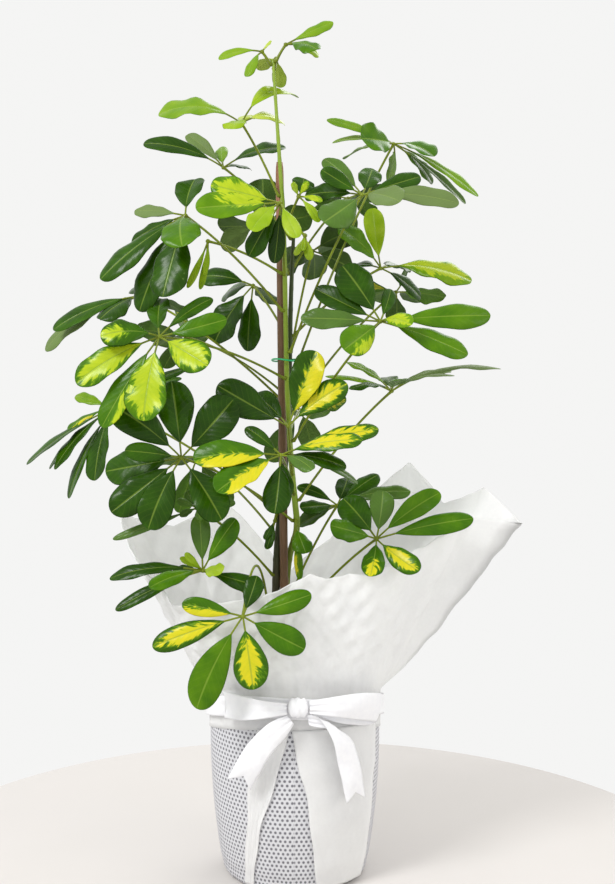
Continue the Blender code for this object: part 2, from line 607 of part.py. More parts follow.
def add_bow(look, collection):
    """The knot, a flattened loop on each side of it and two hanging tails."""
    knot = bmesh.new()
    place = Matrix.Translation(KNOT_CENTRE) @ Matrix.Diagonal((*KNOT_HALF_SIZE, 1.0))
    bmesh.ops.create_uvsphere(knot, u_segments=10, v_segments=7, radius=1.0, matrix=place)
    mesh = bpy.data.meshes.new("bow_knot")
    knot.to_mesh(mesh)
    knot.free()
    add_object("bow_knot", mesh, look, collection)
    for name, strip in STRIPS.items():
        add_strip(name, strip, look, collection)


def main():
    for thing in list(bpy.data.objects):
        bpy.data.objects.remove(thing)
    parts = bpy.data.collections.new("potted_umbrella_plant")
    cutters = bpy.data.collections.new("cutters")
    bpy.context.scene.collection.children.link(parts)
    bpy.context.scene.collection.children.link(cutters)

    plastic = material("pot_plastic", (0.10, 0.045, 0.025), 0.55)
    peat = material("peat", (0.035, 0.022, 0.014), 0.95)
    bamboo = material("stained_cane", (0.42, 0.20, 0.11), 0.6)
    green_wire = material("green_tie", (0.02, 0.42, 0.16), 0.4)
    young_stem = material("young_stem", (0.30, 0.42, 0.06), 0.5)
    old_stem = material("old_stem", (0.09, 0.11, 0.04), 0.6)
    leaf_green = material("leaf_green", (0.045, 0.16, 0.015), 0.35)
    dotted = material("dotted_paper", (0.62, 0.62, 0.65), 0.6)
    tissue = material("white_tissue", (0.86, 0.86, 0.85), 0.7)
    satin = material("white_satin", (0.88, 0.88, 0.90), 0.35)

    add_pot(plastic, parts, cutters)
    add_soil(peat, parts, cutters)
    add_dotted_wrap(dotted, parts)
    add_tissue_wrap(tissue, parts)
    add_ribbon_band(satin, parts)
    add_bow(satin, parts)

    add_cane(bamboo, parts)
    add_tie(green_wire, parts)
    add_stem("stem_tall", STEM_TALL, STEM_TALL_RADIUS, young_stem, parts)
    add_stem("stem_second", STEM_SECOND, STEM_SECOND_RADIUS, old_stem, parts)
    stems = {"tall": (STEM_TALL, STEM_TALL_RADIUS), "second": (STEM_SECOND, STEM_SECOND_RADIUS)}
    for name, spec in LEAVES.items():
        add_leaf(name, spec, stems, leaf_green, parts)


main()
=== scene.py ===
import functools
import math

import bpy
import numpy as np
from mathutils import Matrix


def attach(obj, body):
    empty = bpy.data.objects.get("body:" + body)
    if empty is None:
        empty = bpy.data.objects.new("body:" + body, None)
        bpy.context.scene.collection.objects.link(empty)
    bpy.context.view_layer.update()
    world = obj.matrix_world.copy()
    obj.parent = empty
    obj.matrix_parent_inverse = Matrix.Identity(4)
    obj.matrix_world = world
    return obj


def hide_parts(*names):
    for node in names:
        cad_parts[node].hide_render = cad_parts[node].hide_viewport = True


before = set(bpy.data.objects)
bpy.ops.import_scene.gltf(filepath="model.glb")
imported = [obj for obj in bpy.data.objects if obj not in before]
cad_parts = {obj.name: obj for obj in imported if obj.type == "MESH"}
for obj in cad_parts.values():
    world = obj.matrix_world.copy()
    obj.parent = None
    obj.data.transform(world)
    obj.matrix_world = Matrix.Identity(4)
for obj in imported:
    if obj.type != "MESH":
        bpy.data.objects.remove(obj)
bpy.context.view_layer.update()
mm = 0.001
print("frame loaded:", len(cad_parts), "nodes")


def linear(code, alpha=1.0):
    # an sRGB hex colour turned linear: c / 12.92 below 0.04045, ((c + 0.055) / 1.055) ^ 2.4 above
    c = np.array([int(code[i:i + 2], 16) for i in (0, 2, 4)]) / 255
    return (*np.where(c <= 0.04045, c / 12.92, ((c + 0.055) / 1.055) ** 2.4).tolist(), alpha)


def addNode(tree, kind, *feeds, output=None, **named):
    # adds one node and gives back one of its outputs, the first in use if none is named. A second word
    # in kind is its operation, or the type of what it mixes. Feeds go to its inputs in use, in their
    # order. A name with a capital is an input's, any other is the node's own value. What goes to an
    # input is a number, a colour or another node's output
    kind, _, choice = kind.partition(" ")
    node = tree.nodes.new("ShaderNode" + kind)
    if choice:
        setattr(node, "data_type" if kind == "Mix" else "operation", choice)
    stops = named.pop("stops", None)   # a ramp's (place, colour) pairs
    if stops:
        ramp = node.color_ramp.elements
        ramp[0].position, ramp[0].color = stops[0]
        ramp[-1].position, ramp[-1].color = stops[-1]
        for place, colour in stops[1:-1]:
            ramp.new(place).color = colour
    inputs = []
    for key, value in named.items():
        if key[0].isupper():
            inputs.append((node.inputs[key], value))
        else:
            setattr(node, key, value)
    inputs += zip([each for each in node.inputs if each.enabled], feeds)
    for socket, value in inputs:
        if isinstance(value, bpy.types.NodeSocket):
            tree.links.new(value, socket)
        else:
            socket.default_value = value
    return node.outputs[output] if output else next(each for each in node.outputs if each.enabled)


def startMaterial(name, fixed):
    # a new material with these fixed values on its shader, and the function that adds a node to it
    made = bpy.data.materials.new(name)
    made.use_nodes = True
    for key, value in fixed.items():
        made.node_tree.nodes["Principled BSDF"].inputs[key].default_value = value
    return made, functools.partial(addNode, made.node_tree)


def feedShader(made, outputs):
    for key, output in outputs.items():
        made.node_tree.links.new(output, made.node_tree.nodes["Principled BSDF"].inputs[key])
    return made


def unit(vectors):
    return vectors / np.linalg.norm(vectors, axis=-1, keepdims=True)


def together(*values):
    # arrays of shapes that fit each other, side by side in a new last axis
    return np.stack(np.broadcast_arrays(*values), axis=-1)


def lengthAlong(path):
    return np.concatenate([[0], np.cumsum(np.linalg.norm(np.diff(path, axis=0), axis=1))])


def curveAt(points, place):
    # cubic Hermite: (2t3-3t2+1) p0 + (t3-2t2+t) m0 + (3t2-2t3) p1 + (t3-t2) m1, its slopes m from the
    # neighbours, at any places from 0 to the number of the last point
    table = np.asarray(points, float)
    slopes = np.gradient(table, axis=0)
    start = np.clip(place.astype(int), 0, len(table) - 2)
    t = (place - start)[..., None]
    return ((2 * t**3 - 3 * t**2 + 1) * table[start] + (t**3 - 2 * t**2 + t) * slopes[start]
            + (3 * t**2 - 2 * t**3) * table[start + 1] + (t**3 - t**2) * slopes[start + 1])


def smoothCurve(points, count):
    return curveAt(points, np.linspace(0, len(points) - 1, count))


def tubeRings(path, radii, count, hint=(0.0, 1.0, 0.0)):
    # ring point = path + radius (cos a side + sin a normal), side = tangent x hint, normal = side x tangent
    tangent = unit(np.gradient(path, axis=0))
    side = unit(np.cross(tangent, np.asarray(hint)))
    normal = np.cross(side, tangent)
    angle = 2 * math.pi * np.arange(count) / count
    radius = np.broadcast_to(np.asarray(radii, float), (len(path),))[:, None, None]
    return path[:, None] + radius * (np.cos(angle)[:, None] * side[:, None]
                                     + np.sin(angle)[:, None] * normal[:, None])


def closedSkin(rings, along, across=None, signs=None, looks=()):
    # rows of rings become one closed skin: a quad between neighbours and a fan of triangles at each end.
    # along is one value for each row, across one for each ring point and one more, and signs marks the
    # faces of the ring
    rows, count = rings.shape[:2]
    across = np.linspace(0, 1, count + 1) if across is None else across
    signs = np.ones(count) if signs is None else signs
    cell = np.arange(rows * count).reshape(rows, count)
    after = np.roll(cell, -1, axis=1)
    quads = together(cell[:-1], cell[1:], after[1:], after[:-1]).reshape(-1, 4)
    tris = np.concatenate([together(rows * count, cell[0], after[0]),
                           together(rows * count + 1, after[-1], cell[-1])])
    points = np.concatenate([rings.reshape(-1, 3), rings[0].mean(0)[None], rings[-1].mean(0)[None]])
    a0, a1, c0, c1 = along[:-1, None], along[1:, None], across[:-1] * signs, across[1:] * signs
    middle = (c0 + c1) / 2
    quadUv = together(together(a0, a1, a1, a0), together(c0, c0, c1, c1)).reshape(-1, 4, 2)
    triUv = np.concatenate([together(along[0], together(middle, c0, c1)),
                            together(along[-1], together(middle, c1, c0))])
    corners = points[quads]
    volume = sum((np.cross(a, b) * c).sum() for a, b, c in (
        (corners[:, 0], corners[:, 1], corners[:, 2]), (corners[:, 0], corners[:, 2], corners[:, 3]),
        [points[tris[:, corner]] for corner in range(3)]))
    if volume < 0:   # faces point outwards
        quads, quadUv, tris, triUv = quads[:, ::-1], quadUv[:, ::-1], tris[:, ::-1], triUv[:, ::-1]
    return {"points": points, "quads": quads, "tris": tris, "quadUv": quadUv, "triUv": triUv,
            "looks": [np.broadcast_to(np.asarray(look, float), (len(points), 3)) for look in looks]}


def openSkin(grid, along, across, wraps=False):
    # a sheet through a grid of points: one quad between each four neighbours, and along and across as UV
    rows, columns = grid.shape[:2]
    cell = np.arange(rows * columns).reshape(rows, columns)
    u, v = np.broadcast_to(along, (rows, columns)), np.broadcast_to(across, (rows, columns))
    if wraps:
        cell = np.concatenate([cell, cell[:, :1]], axis=1)
        step = v[:, 1:2] - v[:, :1]
        u, v = np.concatenate([u, u[:, :1]], axis=1), np.concatenate([v, v[:, -1:] + step], axis=1)
    uv = np.stack([u, v], -1)
    quads, quadUv = [np.stack([a[:-1, :-1], a[:-1, 1:], a[1:, 1:], a[1:, :-1]], axis=2) for a in (cell, uv)]
    return {"points": grid.reshape(-1, 3), "quads": quads.reshape(-1, 4), "tris": np.zeros((0, 3), int),
            "quadUv": quadUv.reshape(-1, 4, 2), "triUv": np.zeros((0, 3, 2)), "looks": []}


def joinSkins(skins):
    starts = np.cumsum([0] + [len(skin["points"]) for skin in skins])
    joined = {key: np.concatenate([skin[key] for skin in skins]) for key in ("points", "quadUv", "triUv")}
    for key in ("quads", "tris"):
        joined[key] = np.concatenate([skin[key] + start for skin, start in zip(skins, starts)])
    joined["looks"] = [np.concatenate(each) for each in zip(*[skin["looks"] for skin in skins])]
    return joined


def putPiece(name, skin, material, replaced=(), lookNames=()):
    mesh = bpy.data.meshes.new(name)
    corners = np.concatenate([skin["quads"].ravel(), skin["tris"].ravel()]).astype(np.int32)
    quadCount, triCount = len(skin["quads"]), len(skin["tris"])
    starts = np.concatenate([np.arange(quadCount) * 4, quadCount * 4 + np.arange(triCount) * 3])
    mesh.vertices.add(len(skin["points"]))
    mesh.vertices.foreach_set("co", skin["points"].astype(np.float32).ravel())
    mesh.loops.add(len(corners))
    mesh.loops.foreach_set("vertex_index", corners)
    mesh.polygons.add(len(starts))
    mesh.polygons.foreach_set("loop_start", starts.astype(np.int32))
    mesh.update(calc_edges=True)
    uv = np.concatenate([skin["quadUv"].reshape(-1, 2), skin["triUv"].reshape(-1, 2)]).astype(np.float32)
    mesh.uv_layers.new(name="patternUv").data.foreach_set("uv", uv.ravel())
    for lookName, values in zip(lookNames, skin["looks"]):
        mesh.attributes.new(lookName, "FLOAT_VECTOR", "POINT").data.foreach_set(
            "vector", values.astype(np.float32).ravel())
    mesh.shade_smooth()
    mesh.materials.append(material)
    piece = bpy.data.objects.new(name, mesh)
    bpy.context.scene.collection.objects.link(piece)
    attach(piece, "root")
    if replaced:
        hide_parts(*replaced)
    return piece


def addModifier(piece, kind, **settings):
    modifier = piece.modifiers.new(kind.title(), kind)
    for key, value in settings.items():
        setattr(modifier, key, value)


def ripple(values, waves, seed):
    # a sum of sine waves: size sin(2 pi (values . step + start)), each wave with its own seeded start.
    # values is (..., k); a wave is (k steps, size)
    draw = np.random.default_rng(seed)
    total = 0.0
    for step, size in waves:
        total = total + size * np.sin(2 * math.pi * (values @ np.asarray(step, float) + draw.random()))
    return total


def creases(values, waves, seed):
    # like ripple, with sharp folds: size (1 - 4 |fraction - 1/2|) for each wave
    draw = np.random.default_rng(seed)
    total = 0.0
    for step, size in waves:
        turn = values @ np.asarray(step, float) + draw.random()
        total = total + size * (1 - 4 * np.abs(turn - np.floor(turn) - 0.5))
    return total


studio = {
    "cameraPlace": (0.0125, -1.25, 0.485),
    "lens": 50.9,
    "shift": -0.07,
    "floorRadius": 0.43,
    "floorPaint": ("c9c5c1", "d2cecb"),
    "aim": (0, 0, 0.42),
    "air": ("f7f7f6", 0.98),
    "lamps": (   # place, size, watts, colour
        ((-1.3, -1.4, 2.0), 0.7, 38, "ffffff"),
        ((0.9, 1.7, 2.1), 1.6, 22, "ffffff"),
        ((1.9, -1.0, 1.1), 1.0, 8, "fffaf2"),
    ),
}


def addStudio(s):
    eye = bpy.data.cameras.new("camera")
    eye.lens = s["lens"]
    eye.shift_y = s["shift"]
    holder = bpy.data.objects.new("camera", eye)
    holder.location = s["cameraPlace"]
    holder.rotation_euler = (math.pi / 2, 0, 0)   # level, looking along +Y
    bpy.context.scene.collection.objects.link(holder)
    bpy.context.scene.camera = holder

    floorPaint, add = startMaterial("mattFloorPaint", {"Roughness": 0.85})
    cloud = add("TexNoise", add("TexCoord", output="Object"), Scale=3.0, Detail=3.0)
    feedShader(floorPaint, {"Base Color": add("Mix RGBA", cloud, *map(linear, s["floorPaint"]))})
    turn = np.radians(np.arange(0, 360, 3))   # a round floor
    mesh = bpy.data.meshes.new("floor")
    edge = s["floorRadius"] * together(np.cos(turn), np.sin(turn), 0)
    mesh.from_pydata(edge.tolist(), [], [range(len(edge))])
    mesh.materials.append(floorPaint)
    floor = bpy.data.objects.new("floor", mesh)
    bpy.context.scene.collection.objects.link(floor)

    world = bpy.data.worlds.new("air")
    bpy.context.scene.world = world
    world.use_nodes = True
    backdrop = world.node_tree.nodes["Background"]
    backdrop.inputs["Color"].default_value = linear(s["air"][0])
    backdrop.inputs["Strength"].default_value = s["air"][1]
    for number, (lampPlace, size, watts, colour) in enumerate(s["lamps"]):
        lamp = bpy.data.lights.new(f"softbox{number}", "AREA")
        lamp.size, lamp.energy, lamp.color = size, watts, linear(colour)[:3]
        stand = bpy.data.objects.new(lamp.name, lamp)
        stand.location = lampPlace
        aim = np.array(s["aim"]) - np.array(lampPlace)
        stand.rotation_euler = (math.acos(-aim[2] / np.linalg.norm(aim)), 0, math.atan2(-aim[0], aim[1]))
        bpy.context.scene.collection.objects.link(stand)
    bpy.context.scene.view_settings.view_transform = "Standard"


addStudio(studio)
print("camera and light placed")


def leafMaterial():
    # umbrella plant leaf: a waxy, smooth upper side with paler veins, a matt underside, and on some
    # leaflets a yellow patch with edges torn along the side veins.
    # UV: along the leaflet 0 to 1 (below 0 on stalks), across 0 to 1 (negative on the underside).
    # leafLook is (shade from dark to lime, bloom, size of the patch), and leafPatch is the patch's
    # (place along, place across, seed). The shade is partly the leaflet's own green, lime when young, and
    # partly painted shade: its darkest values darken leaflets that lie behind or under others
    made, add = startMaterial("waxyLeaf", {"IOR": 1.45, "Specular IOR Level": 0.19})
    along, side, _ = add("SeparateXYZ", add("UVMap", uv_map="patternUv")).node.outputs
    look, patch = [add("Attribute", attribute_name=name, output="Vector")
                   for name in ("leafLook", "leafPatch")]
    tone, bloom, size = add("SeparateXYZ", look).node.outputs
    patchAlong, patchAcross, seed = add("SeparateXYZ", patch).node.outputs
    place = add("TexCoord", output="Object")

    under = add("Math LESS_THAN", side, 0.0)
    stalk = add("Math LESS_THAN", along, -0.01)
    across = add("Math MULTIPLY_ADD", add("Math ABSOLUTE", side), 2.0, -1.0)
    out = add("Math ABSOLUTE", across)
    slant = add("Math MULTIPLY_ADD", out, -0.24, along)   # side veins lean towards the tip

    # mottle about 12 mm across over the whole leaf
    mottle = add("TexNoise", place, Scale=55.0, Detail=3.0)
    # the leaflet's shade, partly its own green and partly painted shade for leaflets behind and under
    # others, drifts with the mottle
    toneAndShade = add("Math MULTIPLY_ADD", add("Math SUBTRACT", mottle, 0.5), 0.30, tone)
    greens = add("ValToRGB", toneAndShade, stops=[(at, linear(code)) for at, code in (
        (0.0, "102600"), (0.22, "234400"), (0.40, "3a6600"),
        (0.60, "5f8802"), (0.80, "86a414"), (1.0, "b4c34c"))])

    # the patch: an oval about its middle, its edge pushed in and out by noise stretched along the veins
    stretched = add("VectorMath MULTIPLY", add("CombineXYZ", slant, across, seed), (11.0, 1.6, 1.0))
    tear = add("TexNoise", stretched, Scale=1.0, Detail=3.0, Roughness=0.6)
    offAlong = add("Math MULTIPLY", add("Math SUBTRACT", along, patchAlong), 1.55)
    offAcross = add("Math SUBTRACT", across, patchAcross)
    reach = add("VectorMath LENGTH", add("CombineXYZ", offAlong, offAcross))
    edge = add("Math MULTIPLY_ADD", add("Math SUBTRACT", tear, 0.5), 1.5, reach)
    inside = add("Math SUBTRACT", size, edge)
    lime, yellow = [add("MapRange", inside, low, high, interpolation_type="SMOOTHSTEP")
                    for low, high in ((-0.20, -0.04), (-0.04, 0.08))]
    # golden patches, lime ones on the leaves whose seed is over 15
    limes = add("Math GREATER_THAN", seed, 15.0)
    golden, green = [add("Mix RGBA", tear, linear(light), linear(dark))
                     for light, dark in (("dcc824", "a9b418"), ("bdc926", "7fa012"))]
    yellows = add("Mix RGBA", limes, golden, green)

    # pale midrib, about 1 mm wide, and faint side veins about 6 mm apart
    rib = add("MapRange", out, 0.075, 0.02, interpolation_type="SMOOTHSTEP")
    wave = add("Math SINE", add("Math MULTIPLY", slant, 62.0))
    veins = add("MapRange", wave, 0.80, 1.0)
    pale = add("Mix RGBA", 0.55, greens, linear("9cb548"))
    # stalks: yellow-green, browner in places
    stalks = add("Mix RGBA", add("Math MULTIPLY", mottle, 0.9), linear("8a9a2a"), linear("434f14"))
    # each layer lies over the ones before it: where it shows, how much of it, and its colour or, with a
    # second number, that share of the colour mixed into what is under it
    flesh = greens
    for where, strength, colour, mixed in (
            (lime, 0.55, linear("6f9a14"), None), (yellow, None, yellows, None),
            (rib, 0.55, pale, None), (veins, 0.06, pale, None),
            (bloom, None, linear("7c8c58"), 0.60), (under, None, linear("5f7a36"), 0.34),
            (stalk, None, stalks, None)):
        if strength:
            where = add("Math MULTIPLY", where, strength)
        if mixed:
            colour = add("Mix RGBA", mixed, flesh, colour)
        flesh = add("Mix RGBA", where, flesh, colour)

    matt = add("Math MULTIPLY", add("Math MAXIMUM", under, bloom), 0.55)
    gloss = add("Math MULTIPLY_ADD", mottle, 0.12, 0.20)
    fine = add("TexNoise", place, Scale=420.0, Detail=2.0)
    grain = add("Math MULTIPLY_ADD", fine, 0.35, add("Math MULTIPLY", rib, -1.0))
    height = add("Math MULTIPLY_ADD", wave, 0.12, grain)
    return feedShader(made, {"Base Color": flesh, "Roughness": add("Math MAXIMUM", gloss, matt),
                             "Normal": add("Bump", Strength=0.45, Distance=0.0005, Height=height)})


def stemMaterial(name, young, old, woodHeight):
    # green bark that turns to brown, finely cracked wood towards the soil
    made, add = startMaterial(name, {"IOR": 1.45})
    place = add("TexCoord", output="Object")
    height = add("SeparateXYZ", place).node.outputs[2]
    streak = add("TexNoise", add("VectorMath MULTIPLY", place, (900.0, 900.0, 90.0)),
                 Scale=1.0, Detail=4.0)
    woody = add("MapRange", add("Math MULTIPLY_ADD", streak, 0.06, height),
                woodHeight + 0.10, woodHeight - 0.08)
    greenBark, brownBark = [add("Mix RGBA", streak, linear(first), linear(second))
                            for first, second in (young, old)]
    return feedShader(made, {"Base Color": add("Mix RGBA", woody, greenBark, brownBark),
                             "Roughness": add("Math MULTIPLY_ADD", woody, 0.35, 0.42),
                             "Normal": add("Bump", Strength=0.5, Distance=0.0006, Height=streak)})


def caneMaterial():
    # stained bamboo cane: fine long fibres and a satin, worn stain, pinkish tan
    made, add = startMaterial("stainedBamboo", {"IOR": 1.5})
    place = add("TexCoord", output="Object")
    fibre = add("TexNoise", add("VectorMath MULTIPLY", place, (1400.0, 1400.0, 35.0)),
                Scale=1.0, Detail=4.0)
    worn = add("TexNoise", place, Scale=30.0, Detail=3.0)
    stain = add("ValToRGB", fibre, stops=[(at, linear(code)) for at, code in (
        (0.30, "7c4a33"), (0.55, "a26d50"), (0.80, "bd8d6c"))])
    # the cane is darker and browner below the bare top
    darkerBelow = add("MapRange", add("SeparateXYZ", place).node.outputs[2], 0.66, 0.60, 0.15, 0.85)
    brown = add("Mix RGBA", worn, linear("47331c"), linear("6f5533"))
    return feedShader(made, {"Base Color": add("Mix RGBA", darkerBelow, stain, brown),
                             "Roughness": add("Math MULTIPLY_ADD", worn, 0.25, 0.38),
                             "Normal": add("Bump", Strength=0.4, Distance=0.0004, Height=fibre)})


def tissueMaterial():
    # white tissue: thin, matt, soft cloudy fibres and fine crumple, with a little light coming through
    made, add = startMaterial("whiteTissue", {"IOR": 1.4, "Roughness": 0.78, "Alpha": 0.68,
                                              "Sheen Weight": 0.15, "Sheen Roughness": 0.6})
    place = add("TexCoord", output="Object")
    fibres = add("TexNoise", place, Scale=320.0, Detail=4.0)
    cloud = add("TexNoise", place, Scale=22.0, Detail=3.0)
    tone = add("Math MULTIPLY_ADD", fibres, 0.35, add("Math MULTIPLY", cloud, 0.65))
    cells = add("TexVoronoi", place, Scale=38.0)
    height = add("Math MULTIPLY_ADD", fibres, 0.12, cells)
    return feedShader(made, {
        "Base Color": add("ValToRGB", tone, stops=((0.30, linear("f1f1f1")), (0.70, linear("fbfbfa")))),
        "Normal": add("Bump", Strength=0.22, Distance=0.0025, Height=height)})


def dottedMaterial(pitch, dotRadius):
    # printed paper: rows of small grey dots, each row half a step aside, on pale grey.
    # UV is in metres round and up the pot
    made, add = startMaterial("dottedPaper", {"IOR": 1.45, "Roughness": 0.62})
    uv = add("UVMap", uv_map="patternUv")
    rowStep = pitch * math.sqrt(3)
    nearest = []
    for shift in (0.0, 0.5):
        turned = add("VectorMath MULTIPLY_ADD", uv, (1 / rowStep, 1 / pitch, 0.0), (shift, shift, 0.0))
        part = add("VectorMath FRACTION", turned)
        centred = add("VectorMath SUBTRACT", part, (0.5, 0.5, 0.0))
        sized = add("VectorMath MULTIPLY", centred, (rowStep, pitch, 0.0))
        nearest.append(add("VectorMath LENGTH", sized))
    dot = add("MapRange", add("Math MINIMUM", *nearest), dotRadius * 1.12, dotRadius * 0.88)
    fibres = add("TexNoise", add("TexCoord", output="Object"), Scale=260.0, Detail=3.0)
    paper, ink = [add("Mix RGBA", fibres, linear(first), linear(second))
                  for first, second in (("cacacf", "dadadd"), ("67676d", "7c7c82"))]
    return feedShader(made, {"Base Color": add("Mix RGBA", dot, paper, ink),
                             "Normal": add("Bump", Strength=0.15, Distance=0.0004, Height=fibres)})


def satinMaterial(threadStep):
    # woven satin ribbon: a bright sheen along the ribbon, broken by fine cross threads.
    # UV is in metres along and across the ribbon
    made, add = startMaterial("whiteSatin", {"IOR": 1.5, "Anisotropic": 0.5, "Sheen Weight": 0.35,
                                             "Sheen Roughness": 0.35})
    along = add("SeparateXYZ", add("UVMap", uv_map="patternUv"))
    threads = add("Math SINE", add("Math MULTIPLY", along, 2 * math.pi / threadStep))
    slub = add("TexNoise", add("TexCoord", output="Object"), Scale=180.0, Detail=3.0)
    height = add("Math MULTIPLY_ADD", threads, 0.25, slub)
    return feedShader(made, {"Base Color": add("Mix RGBA", slub, linear("ececf1"), linear("fbfbfc")),
                             "Roughness": add("Math MULTIPLY_ADD", slub, 0.16, 0.26),
                             "Normal": add("Bump", Strength=0.12, Distance=0.0003, Height=height)})


def noisyMaterial(name, dark, light, scale, roughness, depth):
    # one colour that drifts between two tones, with grain of the same scale in its height
    made, add = startMaterial(name, {"IOR": 1.48, "Roughness": roughness})
    grain = add("TexNoise", add("TexCoord", output="Object"), Scale=scale, Detail=5.0)
    return feedShader(made, {"Base Color": add("Mix RGBA", grain, linear(dark), linear(light)),
                             "Normal": add("Bump", Strength=0.6, Distance=depth, Height=grain)})


waxyLeaf = leafMaterial()
youngBark = stemMaterial("youngStemBark", ("90a82a", "6a861e"), ("5f5a28", "40381c"), 0.30)
oldBark = stemMaterial("oldStemBark", ("3f4f1a", "2c3b14"), ("4a3626", "2a1f16"), 0.33)
stainedBamboo = caneMaterial()
whiteTissue = tissueMaterial()
dottedPaper = dottedMaterial(pitch=4.8 * mm, dotRadius=1.32 * mm)
whiteSatin = satinMaterial(threadStep=0.5 * mm)   # drawn coarser than real threads, so that they show
# moulded plastic with a faint orange peel, peat in 3 mm crumbs, chalky perlite and glossy coated wire
mouldedPlastic = noisyMaterial("mouldedPotPlastic", "3d241a", "4c2f22", 500.0, 0.48, 0.0001)
dampPeat = noisyMaterial("dampPeat", "1d130c", "4b3626", 330.0, 0.95, 0.002)
paleGrain = noisyMaterial("expandedPerlite", "cfcdc6", "f1f0ec", 900.0, 0.9, 0.0003)
coatedWire = noisyMaterial("plasticCoatedWire", "0e9a58", "2cc079", 260.0, 0.36, 0.0001)
print("materials made")


stems = {
    "tall": {"points": (
        (-12, 10, 100), (-11, 10.5, 230), (-7, 10, 300), (1.5, 2, 335), (0, -7, 365), (-4, -9.6, 410),
        (-8, -9.4, 490), (-11, -9.2, 635), (-15, -9.0, 700), (-19, -5, 760), (-22, -3, 806)),
        "radii": (4.0, 1.4)},
    "second": {"points": (
        (-22, 0, 100), (-20, 2, 230), (-18, 5, 310), (-13, 10, 370), (-7, 10.5, 440),
        (-5, 10.5, 540), (-3, 11, 600), (-1, 14, 640)),
        "radii": (4.6, 1.6)},
}
cane = {
    "foot": (-0.008, 0.0, 0.020), "top": (-0.0155, 0.0, 0.703), "radius": 0.0042,
    "knots": (0.17, 0.385, 0.59),   # their shares of its length
}
tie = {"height": 0.505, "middle": (-0.0095, 0.0010), "reach": (0.0135, 0.0175), "wire": 0.0009}


def addStems():
    for name, material, slotName in (("tall", youngBark, "young_stem"), ("second", oldBark, "old_stem")):
        stem = stems[name]
        path = smoothCurve(stem["points"], 150) * mm
        share = np.linspace(0, 1, len(path))
        # a low ring, the scar of a leaf, every 21 mm, and a rounded end
        scars = 0.10 * np.exp(-((path[:, 2] / 0.021) % 1 - 0.5) ** 2 / 0.006)
        taper = np.sqrt(1 - np.clip((share - 0.99) / 0.0101, 0, 1) ** 2)
        thick, thin = stem["radii"]
        radii = (thick + share * (thin - thick)) * mm * (1 + scars) * taper
        rings = tubeRings(path, radii, 14)
        putPiece(f"stem_{name}_bark", closedSkin(rings, path[:, 2]), material, [f"stem_{name}"])


def addCane(c):
    path = np.linspace(c["foot"], c["top"], 120)
    share = np.linspace(0, 1, len(path))
    # a knot is a raised ring with a shallow groove above it
    shape = sum(size * np.exp(-((share - place - above) / wide) ** 2) for place in c["knots"]
                for size, above, wide in ((0.13, 0, 0.006), (-0.07, 0.012, 0.005)))
    ends = np.clip(1 - ((share - 0.5) / 0.5) ** 60 * 0.25, 0, 1)
    rings = tubeRings(path, c["radius"] * 0.97 * (1 + shape) * ends, 18)
    putPiece("bamboo_cane", closedSkin(rings, share), stainedBamboo, ["support_cane"])


def addTie(t):
    # a ring of coated wire round the stems and the cane, then its two ends twisted together as a helix
    angle = np.linspace(0.25, 2 * math.pi - 0.25, 60)
    middle = np.array([*t["middle"], t["height"]])
    ring = middle + together(t["reach"][0] * np.cos(angle), t["reach"][1] * np.sin(angle),
                             mm * np.sin(2 * angle))
    skins = [closedSkin(tubeRings(ring, t["wire"], 10, (0, 0, 1)), angle)]
    walk = np.linspace(0, 1, 40)[:, None]
    for turn in (0, math.pi):
        axis = middle + (0.0120, 0.0005, 0.0) + walk * np.array([0.0150, -0.0030, 0.0005])
        coil = 6 * math.pi * walk[:, 0] + turn
        path = axis + 0.8 * mm * together(0, np.cos(coil), np.sin(coil))
        skins.append(closedSkin(tubeRings(path, t["wire"], 8, (0, 0, 1)), walk[:, 0]))
    putPiece("twisted_tie", joinSkins(skins), coatedWire, ["cane_tie"])


addStems()
addCane(cane)
addTie(tie)
print("stems, cane and tie built")


